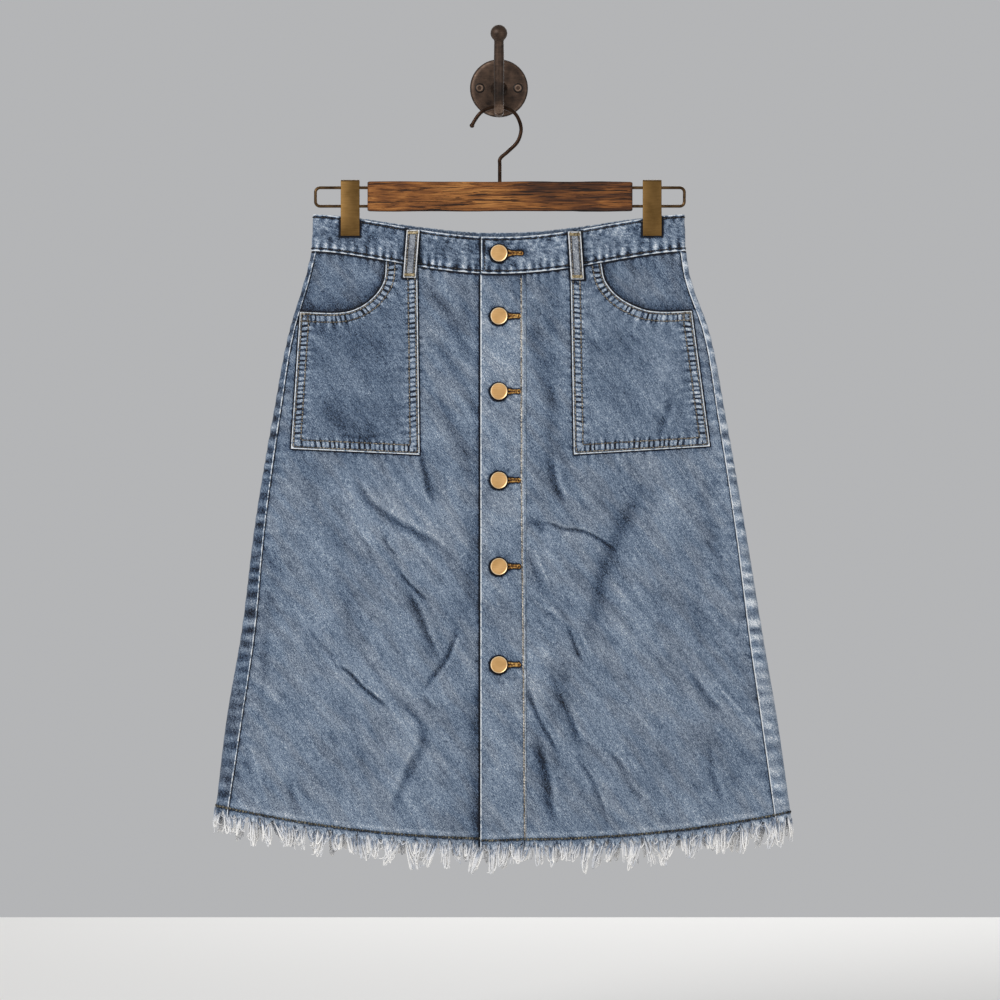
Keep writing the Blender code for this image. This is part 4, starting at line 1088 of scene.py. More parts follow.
# %% Placket
BUTTON_RADIUS, BUTTON_X = 8.5, 0.0
BUTTON_Z = (-163.8, -225.2, -298.8, -385.4, -469.4, -564.9)
BUTTON_PULL = 0.28  # mm of relief in the rays round each button
PLACKET_ROWS, PLACKET_COLUMNS = 372, 31


def placket_row_x(z):
    """The placket's sewn row strays outwards on its way down."""
    return np.interp(-np.asarray(z, float), (190.0, 400.0, 560.0, 735.0), (21.7, 21.9, 23.6, 25.0))


def button_pull(x, z):
    """Rays round each button: a wave in the angle, strongest at the cap's rim and dying away."""
    total = np.zeros(np.broadcast(x, z).shape)
    for number, button_z in enumerate(BUTTON_Z):
        dx, dz = x - BUTTON_X - 3.0, z - button_z
        away = np.hypot(dx * 0.8, dz)
        angle = np.arctan2(dz, dx)
        rays = np.sin(7 * angle + number) + 0.6 * np.sin(11 * angle + 2.3 * number)
        total += rays * ease((away - 5) / 5) * np.exp(-np.maximum(away - 9, 0) / 5.5)
    return total


def from_fastening(x, z, button_z, hole_end=18.6):
    """Distance outwards from a button, or from the bound buttonhole beside it where that is nearer."""
    # A button's shade falls low and to the left, so the cap is taken a little that way.
    from_button = np.hypot(x - BUTTON_X + 0.5, z - button_z + 0.5) - BUTTON_RADIUS
    half_hole = np.interp(x, (8.0, 16.0, 18.0), (3.2, 1.9, 2.3))
    from_hole = np.hypot(x - np.clip(x, 8.0, hole_end), z - button_z) - half_hole
    return np.minimum(from_button, from_hole + 0.4)


def placket_surface(x, z, lift=0.0):
    """A point of the placket's outer face in the flat front view."""
    points = front_surface(x, z, PROUD + lift)
    points[..., 1] -= BUTTON_PULL * button_pull(points[..., 0], points[..., 2])
    return points


def placket_share(x):
    """0 at the placket's free edge and 1 where it is sewn to the left front."""
    return (x - PLACKET_X[0]) / (PLACKET_X[1] - PLACKET_X[0])


v = np.linspace(0, 1, PLACKET_ROWS)[:, None]
x = np.broadcast_to(np.linspace(*PLACKET_X, PLACKET_COLUMNS)[None, :], (PLACKET_ROWS, PLACKET_COLUMNS))
points = placket_points = cloth_point(x, v, "front", PROUD)
points[..., 1] += PROUD * ease((x - PLACKET_X[1] + 1.8) / 1.8)
z = points[..., 2]
from_row = x - placket_row_x(z)
across = np.sin(z / 9.0 + 2.0 * value_noise(z / 30.0, x / 60.0, 43)) * value_noise(x / 22.0, z / 60.0, 44)
folds = 0.35 * across + 0.3 * puckers(from_row, -z, 9.5, 4.0, 45)
points[..., 1] -= fine_front(x, z) + folds + BUTTON_PULL * button_pull(x, z)
below_waist, above_hem = below_waist_seam(x, z), above_raw_edge(x, z)
# Tone follows the folds across the placket, partly as painted shade. The placket is darker towards the hem, and
# painted shade lies just below the waistband.
tone = 0.6 * front_tone(x, z) + 0.07 * across + 0.085 * button_pull(x, z) - 0.12 * v
tone = tone + 0.11 * puckers(from_row, -z, 9.5, 3.0, 45) - 0.16 * np.exp(-below_waist / 30.0)
points[..., 2] -= PLACKET_HEM_DROP * (1 - placket_share(x)) * v
tone = tone + fray(points, x, above_hem)
from_buttons = np.min([from_fastening(x, z, button_z) for button_z in BUTTON_Z], axis=0)
marks = {
    "tone": tone,
    "edge_mm": x - PLACKET_X[0],
    "run_mm": np.where(above_hem < 12, x, -z),
    "shade_mm": np.minimum(below_waist - 0.4, from_buttons),
    "fray_mm": above_hem,
    "sewn_mm": from_row,
}
placket = cloth_wall("placket_denim", points, PLACKET_WALL, np.stack([x + 400, z], -1), marks,
                     (denim_placket, denim_inside))
finish_piece(placket, "denim", "placket")

# %% [markdown]
# ## The back panel
# The back is one piece that also wraps both sides: its edges are the side seams, which lie on the front. Its
# grid follows that path, from one seam round the fold, across the back and round to the other seam. The strips
# that show from the front are full of puckers, because they are narrow and sewn along one side.

# %% Back panel
BACK_ROWS, BACK_COLUMNS, FOLD_COLUMNS, STRIP_COLUMNS = 190, 126, 9, 5


def side_fold(v, hand):
    """Points round one side fold from front to back: a half circle; hand is 1 on the viewer's right."""
    radius = fold_radius(v)
    middle_of_fold = sides(v)[int(hand > 0)] - radius
    turn = np.linspace(-math.pi / 2, math.pi / 2, FOLD_COLUMNS)[None, :]
    x = hand * (middle_of_fold + radius * np.cos(turn))
    y = MIDDLE_Y + radius * np.sin(turn)
    z = np.where(turn < 0, height(x, v, "front"), height(x, v, "back"))
    return np.stack([x, y, np.broadcast_to(z, x.shape)], axis=-1)


def back_grid(v, steps):
    """The back's rows: from the seam on the viewer's right round its fold, across the back, and to the left."""
    left_seam, right_seam = seam_x(v)
    left_fold, right_fold = side_fold(v, -1), side_fold(v, 1)
    share = np.linspace(0, 1, STRIP_COLUMNS + 1)[None, :-1]
    right_strip = cloth_point(right_seam + (right_fold[:, :1, 0] - right_seam) * share, v, "front")
    left_start = left_seam - PARTING
    left_strip = cloth_point(left_start + (left_fold[:, :1, 0] - left_start) * share, v, "front")[:, ::-1]
    start, end = right_fold[:, -1:, 0], left_fold[:, -1:, 0]
    x = start + (end - start) * np.linspace(0, 1, steps + 2)[None, 1:-1]
    across = cloth_point(x, v, "back")
    return np.concatenate([right_strip, right_fold, across, left_fold[:, ::-1], left_strip], axis=1)


v = np.linspace(0, 1, BACK_ROWS)[:, None]
points = back_grid(v, BACK_COLUMNS)
x, z = points[..., 0], points[..., 2]
step = np.linalg.norm(np.diff(points, axis=1), axis=-1)
round_mm = np.concatenate([np.zeros((BACK_ROWS, 1)), np.cumsum(step, axis=1)], axis=1)
from_seam = np.minimum(round_mm, round_mm[:, -1:] - round_mm)
on_back = ease((from_seam - 20) / 25)
on_front = ease(0.5 - (points[..., 1] - MIDDLE_Y) / 6.0)
below_waist, above_hem = below_waist_seam(x, z, "back"), z - z[-1]
seam_wave = puckers(from_seam - 6, -z, 13.6, 13.0, 51)
waist_wave = puckers(below_waist, x, 7.8, 4.5, 53) * on_back
hem_wave = puckers(above_hem - HEM_ROW, round_mm, 10.5, 5.0, 55)
bulge = (crease_height(x, z, BACK_CREASES) + rumples(x, z, 12)) * on_back
bulge += 0.5 * seam_wave + 0.5 * waist_wave + 0.45 * hem_wave
points = back_points = points + grid_normals(points) * bulge[..., None]
tone = (wear_and_shade_tone(x, z, BACK_CREASES, BACK_STREAKS) + 0.03 * rumples(x, z, 12)) * on_back
tone += (0.12 + 0.28 * on_front) * seam_wave + 0.3 * waist_wave + 0.07 * hem_wave
# Painted light and shade on the side strips that show from the front: paler on the viewer's right, darker on the
# left.
tone += np.where(x > 0, 0.14, -0.2) * on_front + fray(points, round_mm, above_hem)
fittings = np.where(on_back > 0, under_fittings(x, z, "back") - 0.6, FAR)
marks = {
    "tone": tone,
    "edge_mm": from_seam + 0.1,
    "run_mm": np.where((from_seam < 12) & (above_hem > 12), -z, round_mm),
    "shade_mm": np.minimum(below_waist - 0.4, fittings),
    "fray_mm": above_hem,
}
back = cloth_wall("back_denim", points, DENIM, np.stack([round_mm + 900, z], -1), marks,
                  (denim_panel, denim_inside))
finish_piece(back, "denim", "back_panel")

# %% [markdown]
# ## The waistband
# The waistband is a strip folded double, sewn on all round and buttoned over itself. It is the most worn piece:
# its edges are nearly white, and the layers inside print dark and pale patches through it. Its grid runs once
# round the waist, from the buttonhole end at the front to the button end underneath. The finish is given a
# stronger mottle than the panels, and puckers stand along both edges.

# %% Waistband
WAISTBAND_COLUMNS, WAISTBAND_ROWS = 520, 23
BUTTON_BELOW_TOP = 0.45 * WAISTBAND_HEIGHT
HAND = {"front": -1, "back": 1}  # which way a side faces along y


def narrower(level):
    """The waistband's width at a level, where 0 is its seam and 1 its top edge, over its width at the seam."""
    return 1 - (WAISTBAND_TOP_NARROWER / sides(0.0)[1]) * level


def waistband_point(x, level, side):
    """A point of the waistband's outer face at x and a level."""
    x = np.asarray(x, float)
    y = MIDDLE_Y + HAND[side] * (half_depth(x, 0.0) + PROUD)
    z = height(x, 0.0, side) + PARTING + WAISTBAND_HEIGHT * level
    return np.stack([x * narrower(level), y, z], axis=-1)


def waistband_path(level):
    """Once round the waist: from the buttonhole end, to the right, behind, and to the button end underneath."""
    left, right = sides(0.0)
    radius = FOLD_RADIUS_TOP + PROUD
    turn = np.linspace(-math.pi / 2, math.pi / 2, 15)[1:-1]
    first = waistband_point(np.linspace(PLACKET_X[0] + 0.5, right - radius, 130), level, "front")
    second = waistband_point(np.linspace(right - radius, radius - left, 220)[1:-1], level, "back")
    x = np.linspace(radius - left, UNDERLAP_END_X, 130)
    third = waistband_point(x, level, "front")
    third[:, 1] += underlap_sink(x, WAISTBAND_WALL + PARTING)
    folds = []
    for hand, edge in ((1, right), (-1, left)):
        x = hand * (edge - radius + radius * np.cos(turn)) * narrower(level)
        z = np.full_like(x, WAIST_SEAM_Z + PARTING + WAISTBAND_HEIGHT * level)
        folds.append(np.stack([x, MIDDLE_Y + radius * np.sin(turn), z], axis=-1))
    return np.vstack([first, folds[0], second, folds[1][::-1], third])


shares = np.linspace(0, 1, WAISTBAND_COLUMNS)
levels = np.linspace(1, 0, WAISTBAND_ROWS)
points = np.stack([along(waistband_path(level), shares) for level in levels])
round_mm = np.broadcast_to(run_lengths(points[WAISTBAND_ROWS // 2])[None, :], points.shape[:2])
total_round = round_mm[0, -1]
from_top = np.broadcast_to(((1 - levels) * WAISTBAND_HEIGHT)[:, None], points.shape[:2])
from_seam = WAISTBAND_HEIGHT - from_top
leaning = round_mm + 0.5 * from_top
low_wave = puckers(np.maximum(from_seam - 5.0, 0), round_mm, 8.8, 6.0, 61)
high_wave = puckers(np.maximum(from_top - 3.0, 0), leaning, 8.3, 5.5, 63)
middle_wave = value_noise(leaning / 14.0, (from_top - 0.25 * round_mm) / 5.0, 65)
furrows = sum(np.exp(-(((from_edge - 2.9) / 1.1) ** 2)) for from_edge in (from_top, from_seam))
bulge = 0.55 * low_wave + 0.45 * high_wave + 0.45 * middle_wave - 0.25 * furrows
flat_x = round_mm + PLACKET_X[0]
beside_button, over_button = flat_x - BUTTON_X - 3.0, from_top - BUTTON_BELOW_TOP
from_cap = np.maximum(np.hypot(0.8 * beside_button, over_button) - 8.0, 0.0)
pull = 0.4 * np.exp(-((from_cap / 9.0) ** 2)) * np.sin(7 * np.arctan2(over_button, beside_button))
shallow = 0.25 + 0.75 * ease(np.minimum(from_top, from_seam) / 4.0)
outwards = grid_normals(points) * (1.0, 1.0, 0.0)
points = waistband_points = points + outwards * ((bulge + pull) * shallow)[..., None]
x, y, z = np.moveaxis(points, -1, 0)
from_button = from_fastening(flat_x, -from_top, -BUTTON_BELOW_TOP, 21.0)
fittings = np.where(y > MIDDLE_Y, under_fittings(x, z, "back"), under_fittings(x, z, "front")) - 0.6
from_lap = np.where(round_mm > 0.6 * total_round, PLACKET_X[0] - x, FAR)
marks = {
    "tone": 0.5 * low_wave + 0.36 * high_wave + 0.16 * middle_wave + 0.45 * pull + 0.0002 * x,
    "edge_mm": np.minimum(np.minimum(from_top, from_seam), round_mm),
    "run_mm": round_mm,
    "shade_mm": np.min((from_button, fittings, from_lap), axis=0),
}
waistband = cloth_wall("waistband_denim", points, WAISTBAND_WALL, np.stack([round_mm + 1700, -from_top], -1),
                       marks, (denim_waistband, denim_waistband_lining))
inner_and_rim = np.arange(len(waistband.data.polygons)) >= (WAISTBAND_ROWS - 1) * (WAISTBAND_COLUMNS - 1)
waistband.data.polygons.foreach_set("material_index", inner_and_rim.astype(np.int32))
finish_piece(waistband, "denim", "waistband")
print(f"waistband: {total_round:.0f} mm round")

# %% [markdown]
# ## The patch pockets
# Each pocket is sewn on along three sides, and its scooped opening shows the front behind it. Two rows of
# thread run round it, about 7 mm apart, and the cloth between them is drawn into short cross ridges, dark and
# pale in turn. The grid is stretched between the scooped edge and the other sides, so both borders are exact.

# %% Pockets
POCKET_ROWS, POCKET_COLUMNS = 118, 84


def pocket_grid(pocket):
    """Flat x and z: straight lines from each point of the opening to a point of the inner side or the bottom."""
    shares = np.linspace(0, 1, POCKET_COLUMNS + 1)
    top = along(pocket["opening"], shares)
    corners = [pocket[corner] for corner in ("inner_top", "inner_bottom", "outer_bottom")]
    at_corners = (0, POCKET_CORNER_SHARE, 1)
    bottom = np.stack([np.interp(shares, at_corners, column) for column in np.array(corners).T], axis=-1)
    return top + (bottom - top) * np.linspace(0, 1, POCKET_ROWS + 1)[:, None, None]


for seed, (name, pocket) in enumerate(POCKETS.items(), start=81):
    flat = pocket_grid(pocket)
    if flat[0, -1, 0] < flat[0, 0, 0]:
        flat = flat[:, ::-1]
    x, z = flat[..., 0], flat[..., 1]
    edge_mm, run_mm, _ = beside(x, z, pocket["loop"])
    points = front_surface(x, z, POCKET_LIFT + DENIM)
    fine_wave = puckers(np.abs(edge_mm - 6.0), run_mm, 4.5, 3.0, seed)
    wide_wave = puckers(np.maximum(edge_mm - 9.5, 0), run_mm, 9.0, 6.0, seed + 10) * ease((edge_mm - 6) / 3)
    furrows = sum(np.exp(-(((edge_mm - row) / 0.9) ** 2)) for row in SEWN_ROWS)
    points[..., 1] -= 0.22 * fine_wave + 0.42 * wide_wave - 0.22 * furrows + 0.35 * ease(edge_mm / 14.0)
    marks = {
        "tone": 0.26 * wide_wave + front_tone(x, z),
        "edge_mm": edge_mm,
        "run_mm": run_mm,
        "shade_mm": np.minimum(below_waist_seam(x, z), under_fittings(x, z, "front") - 0.6),
    }
    piece = cloth_wall(f"{name}_denim", points, DENIM, np.stack([x + 2600, z], -1), marks,
                       (denim_pocket, denim_inside))
    finish_piece(piece, "denim", name)

# %% [markdown]
# ## The belt loops
# A belt loop is a narrow strip folded in three, tacked flat at both ends, and standing a little off the
# waistband between. Two rows of thread run down it and rub its edges white. Each is a small grid of its own,
# with the same kind of wall.

# %% Belt loops
LOOP_ROWS, LOOP_COLUMNS, LOOP_ROW = 42, 14, 2.2


def loop_surface(side, x_top, x_bottom, shares, offsets):
    """Points of a loop's outer face: shares run down it, offsets run across it from its middle line."""
    top = waistband_point(x_top, 1.0, side)[2] - LOOP_BELOW_EDGE
    length = top - height(x_bottom, 0.0, side) + LOOP_OVERHANG
    lift_bottom = POCKET_LIFT + DENIM + 0.4 if side == "front" else PARTING + 0.1
    lift_ends = PROUD + PARTING + 0.1 + (lift_bottom - PROUD - 0.4) * shares
    stand_off = lift_ends + 2.2 * ease(shares / 0.2) * ease((1 - shares) / 0.2)
    x = x_top + (x_bottom - x_top) * shares + offsets
    y = MIDDLE_Y + HAND[side] * (half_depth(x, 0.0) + stand_off + BELT_LOOP_WALL)
    return np.stack([x, y, np.broadcast_to(top - length * shares, x.shape)], axis=-1), length


loop_lengths = []
for number, (name, side, *ends) in enumerate(BELT_LOOPS):
    across = np.linspace(-0.5, 0.5, LOOP_COLUMNS) * -HAND[side] * BELT_LOOP_WIDTH
    shares, offsets = np.meshgrid(np.linspace(0, 1, LOOP_ROWS), across, indexing="ij")
    points, length = loop_surface(side, *ends, shares, offsets)
    from_side = BELT_LOOP_WIDTH / 2 - np.abs(offsets)
    from_end = np.minimum(shares, 1 - shares) * length
    run = shares * length
    wave = puckers(from_side, run, 5.5, 3.0, 91 + number)
    bulge = 0.25 * wave - 0.2 * np.exp(-((from_side - LOOP_ROW) ** 2)) + 0.3 * np.exp(-(from_end / 2.0) ** 2)
    points = points + grid_normals(points) * bulge[..., None]
    marks = {"tone": 0.08 * wave, "edge_mm": np.minimum(from_side, from_end), "run_mm": run, "shade_mm": FAR}
    uv = np.stack([offsets + 3400 + 60 * number, -run], -1)
    piece = cloth_wall(f"{name}_denim", points, BELT_LOOP_WALL, uv, marks, (denim_loop, denim_inside))
    finish_piece(piece, "denim", name)
    loop_lengths.append(length)
    length * MM
print("belt loops, length in mm:", [round(length) for length in loop_lengths])

# %% [markdown]
# ## Thread
# Topstitching is thick thread that dips into the cloth at each stitch. One stitch is a short spindle: a pole at
# each end and two small rings between. Thousands of objects would be slow, so the arrays of one row hold every
# stitch at once, and one colour of thread becomes one joined mesh. The same function, given more rings, makes
# the curled strands of the frayed hem.


# %% Tubes from arrays of paths
def ring_faces(rings, steps):
    """Triangles of a skin through a row of rings, with a pole before the first point and one after the last."""
    ring = 1 + np.arange(rings * steps).reshape(rings, steps)
    after = np.roll(ring, -1, axis=1)
    quads = np.stack([ring[:-1], ring[1:], after[1:], after[:-1]], -1).reshape(-1, 4)
    start_fan = np.stack([0 * ring[0], ring[0], after[0]], -1)
    end_fan = np.stack([0 * ring[-1] + rings * steps + 1, after[-1], ring[-1]], -1)
    return np.vstack([quads[:, [0, 1, 2]], quads[:, [0, 2, 3]], start_fan, end_fan])


def spokes(across, over, steps):
    """Directions round a ring: cosine times across plus sine times over."""
    turn = (np.arange(steps) * 2 * math.pi / steps)[:, None]
    return np.cos(turn) * across + np.sin(turn) * over


def on_rings(values, steps):
    """Values along a path, repeated round its rings; the first and the last go to the poles."""
    return np.concatenate([values[..., :1], np.repeat(values[..., 1:-1], steps, -1), values[..., -1:]], -1)


def tubes(paths, radii, steps):
    """Points and faces of many tubes: rings at the inner points of each path, and a pole at both ends."""
    count, stations = paths.shape[:2]
    forward = unit(np.gradient(paths, axis=1))
    guide = np.where(np.abs(forward[..., 1:2]) > 0.85, [[[1.0, 0.0, 0.0]]], [[[0.0, 1.0, 0.0]]])
    across = unit(np.cross(forward, guide))[:, 1:-1, None]
    rings = spokes(across, np.cross(across, forward[:, 1:-1, None]), steps) * radii[:, 1:-1, None, None]
    rings = (paths[:, 1:-1, None] + rings).reshape(count, -1, 3)
    points = np.concatenate([paths[:, :1], rings, paths[:, -1:]], axis=1)
    first_points = np.arange(count)[:, None, None] * points.shape[1]
    return points.reshape(-1, 3), (ring_faces(stations - 2, steps)[None] + first_points).reshape(-1, 3)


FRONT_OUT = (0.0, -1.0, 0.0)  # straight towards the viewer


def sewing_places(line, outward, runs):
    """Points at distances along a line, and their outward directions."""
    return at_run(line, runs), unit(at_run(line, runs, np.broadcast_to(outward, line.shape)))


def stitch_row(line, outward, pitch, length, lift, slant=0.0, seed=0):
    """Paths of four points, one for each stitch along a line: in the cloth, over it twice, and back into it."""
    total = run_lengths(line)[-1]
    count = int(total // pitch)
    spread = np.random.default_rng(seed)
    middle = (np.arange(count) + 0.5) * total / count + spread.normal(0, 0.05 * pitch, count)
    base, out = sewing_places(line, outward, middle[:, None] + np.array([-0.5, -0.34, 0.34, 0.5]) * length)
    aside = unit(np.cross(out, base[:, 3:] - base[:, :1]))
    levels = np.array([-0.35, lift, lift, -0.35])[None, :, None]
    sway = np.array([-0.5, -0.25, 0.25, 0.5])[None, :, None] * slant
    wobble = spread.normal(0, 0.12, (count, 1, 1))
    return base + out * levels + aside * (sway + wobble)


def satin(line, outward, pitch, width, lift, seed=0):
    """Stitches side by side that lie across a line: each arches over it from edge to edge."""
    total = run_lengths(line)[-1]
    count = max(2, int(total // pitch))
    base, out = sewing_places(line, outward, (np.arange(count) + 0.5) * total / count)
    aside = unit(np.cross(out, unit(np.gradient(base, axis=0))))
    reach = width * np.random.default_rng(seed).uniform(0.42, 0.58, (count, 1, 1))
    shares = np.array([-1.0, -0.5, 0.5, 1.0])[None, :, None]
    levels = np.array([-0.3, lift, lift, -0.3])[None, :, None]
    return base[:, None] + aside[:, None] * shares * reach + out[:, None] * levels


print("a stitch has", len(ring_faces(2, 5)), "triangles")


# %% Thread finishes
def thread_material(name, dark, middle, light, roughness=0.75):
    """Twisted thread: a ramp over fine specks and patches of fading."""
    material, tree, shader = new_material(name, Roughness=roughness, Specular_IOR_Level=0.3)
    specks = solid_noise(tree, 1.0, 620.0)
    value = specks * 1.9 + (solid_noise(tree, 1.0, 60.0) * 0.9 - 0.9)
    give_colour(shader, value.ramp(((0.1, dark), (0.5, middle), (0.9, light))), specks, 0.5, 0.0003)
    return material


tan_thread = thread_material("tan_thread", (54, 50, 46), (112, 105, 95), (180, 171, 156))
hem_thread = thread_material("hem_thread", (24, 24, 24), (68, 66, 60), (140, 134, 114))
navy_thread = thread_material("navy_thread", (14, 14, 18), (32, 32, 37), (84, 78, 70))
ochre_thread = thread_material("ochre_thread", (62, 35, 9), (156, 108, 46), (224, 182, 108), 0.6)
cream_thread = thread_material("cream_thread", (84, 72, 48), (156, 138, 102), (220, 206, 172), 0.6)
grey_thread = thread_material("grey_thread", (86, 78, 68), (172, 164, 152), (238, 232, 222))
STITCH_RADIUS, STITCH_SIDES = 0.62, 5


def sew(name, rows, material, radius=STITCH_RADIUS):
    """Joins rows of stitch paths into one mesh of thread."""
    paths = np.vstack(rows)
    points, faces = tubes(paths, np.full(paths.shape[:2], radius), STITCH_SIDES)
    finish_piece(new_mesh_object(name, points, faces, (material,), 180.0), "frayed_thread")


# %% Sewn rows of the pockets
def inset(corners, distance):
    """A chain of straight sides moved in by a distance: each side shifts, and neighbours meet at a crossing."""
    corners = np.asarray(corners, float)
    direction = unit(np.diff(corners, axis=0))
    normal = np.stack([-direction[:, 1], direction[:, 0]], axis=-1)
    middle = corners.mean(axis=0)
    normal *= np.sign(((middle - corners[:-1]) * normal).sum(axis=1))[:, None]
    starts, ends = corners[:-1] + normal * distance, corners[1:] + normal * distance
    moved = [starts[0]]
    for a, b, c, d in zip(starts, ends, starts[1:], ends[1:]):
        step, other = b - a, d - c
        t = (other[0] * (a[1] - c[1]) - other[1] * (a[0] - c[0])) / (other[1] * step[0] - other[0] * step[1])
        moved.append(a + t * step)
    return np.vstack(moved + [ends[-1]])


def offset_curve(points, distance, towards):
    """A smooth curve moved sideways by a distance, to the side where a given point lies."""
    forward = unit(np.gradient(points, axis=0))
    normal = np.stack([-forward[:, 1], forward[:, 0]], axis=-1)
    side = np.sign(((np.asarray(towards) - points[len(points) // 2]) * normal[len(points) // 2]).sum())
    return points + side * normal * distance


def on_pocket(line, steps):
    """A flat line laid on a pocket's outer face, with even steps."""
    even = along(line, np.linspace(0, 1, steps))
    return front_surface(even[:, 0], even[:, 1], POCKET_LIFT + DENIM)


TACK_BOX = np.array([(1.2, -1.4), (7.2, -1.4), (7.2, -9.0), (1.2, -9.0), (1.2, -1.4)])
tan_rows, ochre_rows, cream_rows, navy_rows, hem_rows = [], [], [], [], []
for seed, pocket in enumerate(POCKETS.values(), start=101):
    outer_top = pocket["opening"][-1]
    chain = [pocket["inner_top"], pocket["inner_bottom"], pocket["outer_bottom"], outer_top]
    for number, distance in enumerate(SEWN_ROWS):
        scoop = offset_curve(pocket["opening"], distance, pocket["inner_bottom"])
        for line in (scoop, inset(chain, distance)):
            tan_rows.append(stitch_row(on_pocket(line, 260), FRONT_OUT, 2.9, 2.5, 0.55, 0.5, seed + number))
    hand = np.sign(outer_top[0] - pocket["inner_top"][0])
    tack = on_pocket(outer_top + TACK_BOX * (-hand, 1), 60)
    tan_rows.append(stitch_row(tack, FRONT_OUT, 1.9, 1.9, 0.6, 0.5, seed))
print(f"{sum(len(row) for row in tan_rows)} stitches on the pockets")

# %% Sewn rows of the loops
for number, (name, side, *ends) in enumerate(BELT_LOOPS):
    out = (0.0, HAND[side], 0.0)
    for offset in (-BELT_LOOP_WIDTH / 2 + LOOP_ROW, BELT_LOOP_WIDTH / 2 - LOOP_ROW):
        line, _ = loop_surface(side, *ends, np.linspace(0, 1, 60), offset)
        tan_rows.append(stitch_row(line, out, 2.7, 2.4, 0.4, 0.4, 120 + number))
    for share in (0.06, 0.94):
        line, _ = loop_surface(side, *ends, share, np.linspace(-0.42, 0.42, 30) * BELT_LOOP_WIDTH)
        cream_rows.append(satin(line, out, 0.75, 3.6, 0.95, 130 + number))


# %% Sewn rows of the waistband, placket and hem
def grid_row(points, row):
    """A line across a grid at a row number that may lie between rows, with its outward directions."""
    low = int(row)
    share = row - low
    normals = grid_normals(points)
    line = points[low] * (1 - share) + points[low + 1] * share
    return line, unit(normals[low] * (1 - share) + normals[low + 1] * share)


rows_per_mm = (WAISTBAND_ROWS - 1) / WAISTBAND_HEIGHT
for number, distance in enumerate((2.6, WAISTBAND_HEIGHT - 2.6)):
    line, out = grid_row(waistband_points, distance * rows_per_mm)
    navy_rows.append(stitch_row(line, out, 3.1, 2.5, 0.3, 0.25, 140 + number))
line = waistband_points[2:-2, 2] + np.array([0.6, 0, 0])  # the row that closes its buttonhole end
navy_rows.append(stitch_row(line, FRONT_OUT, 3.1, 2.5, 0.3, 0.2, 145))

z = np.linspace(-188.0, -733.0, 700)
grey_row = stitch_row(placket_surface(placket_row_x(z), z), FRONT_OUT, 2.6, 2.6, 0.7, 1.0, 150)


def hem_line(points):
    """The line of a panel's hem row, as high above its raw edge as before the edge was made ragged."""
    spacing = np.abs(points[-12, :, 2] - points[-20, :, 2]).mean() / 8
    return grid_row(points, len(points) - 1 - HEM_ROW / spacing)


hems = (front_right_points[:, :FRONT_COLUMNS], placket_points, front_left_points, back_points)
for number, points in enumerate(hems):
    line, out = hem_line(points)
    for step, slant in ((-0.45, 1.0), (0.45, -1.0)):
        shifted = line + np.array([0.0, 0.0, step])
        hem_rows.append(stitch_row(shifted, out, 3.3, 2.8, 0.4, slant, 160 + number))
print(f"{sum(map(len, [grey_row, *navy_rows, *hem_rows]))} stitches on the waistband, placket and hem")

# %% [markdown]
# ## Buttonholes and buttons
# A buttonhole is a slit bound with close satin stitches, with a bar of longer ones at its end. Only the part
# beside the button shows. The button itself is a turned brass cap with a rolled rim on a thin shank. It could be
# a bevelled cylinder, but a profile turned round an axis gives the dish of its face and the roll of its rim at
# once.

# %% Buttonhole stitches
SLIT_START_X, SLIT_END_X, TACK_RADIUS = 6.0, 18.0, 1.35


def waistband_surface(x, z, lift=0.0):
    """A point of the waistband's front near its button, read between the columns of one row of its grid."""
    row = waistband_points[round(0.45 * (WAISTBAND_ROWS - 1)), :110]
    return np.stack([x, np.interp(x, row[:, 0], row[:, 1]) - lift, np.broadcast_to(z, np.shape(x))], axis=-1)


slit_shade_paths = []
for number, z in enumerate(BUTTON_Z):
    on_waistband = number == 0
    surface = waistband_surface if on_waistband else placket_surface
    end_x = SLIT_END_X + 2.4 * on_waistband
    x = np.linspace(SLIT_START_X, end_x, 50)
    half_slit = 0.75 + (1.0 + 0.5 * on_waistband) * (1 - ease((x - SLIT_START_X) / 9.5))
    for hand in (-1, 1):
        line = surface(x, z + hand * (half_slit + 0.2))
        ochre_rows.append(satin(line, FRONT_OUT, 0.8, 2.3, 0.5, 170 + number))
    turn = np.linspace(0.15, 2 * math.pi + 0.15, 24)
    line = surface(end_x + TACK_RADIUS * (1 + np.cos(turn)), z + 1.15 * TACK_RADIUS * np.sin(turn))
    ochre_rows.append(satin(line, FRONT_OUT, 0.6, 1.3, 0.6, 180 + number))
    # A dark tube along the slit stands in for the shade in its opening: painted shade.
    x = np.array([SLIT_START_X, 9.0, 15.0, end_x + 1.5 * TACK_RADIUS])
    slit_shade_paths.append(surface(x, np.full_like(x, z), 0.1)[None])

sew("tan_topstitching", tan_rows, tan_thread)
sew("ochre_tacks_and_buttonholes", ochre_rows, ochre_thread, 0.46)
sew("cream_loop_tacks", cream_rows, cream_thread, 0.46)
sew("navy_waistband_stitching", navy_rows, navy_thread, 0.6)
sew("grey_placket_stitching", [grey_row], grey_thread, 0.72)
sew("brown_hem_stitching", hem_rows, hem_thread, 0.56)
# The slits' dark tubes are painted shade.
sew("buttonhole_slits", slit_shade_paths, thread_material("slit_brown", (22, 8, 4), (44, 18, 8), (80, 36, 14)), 0.9)


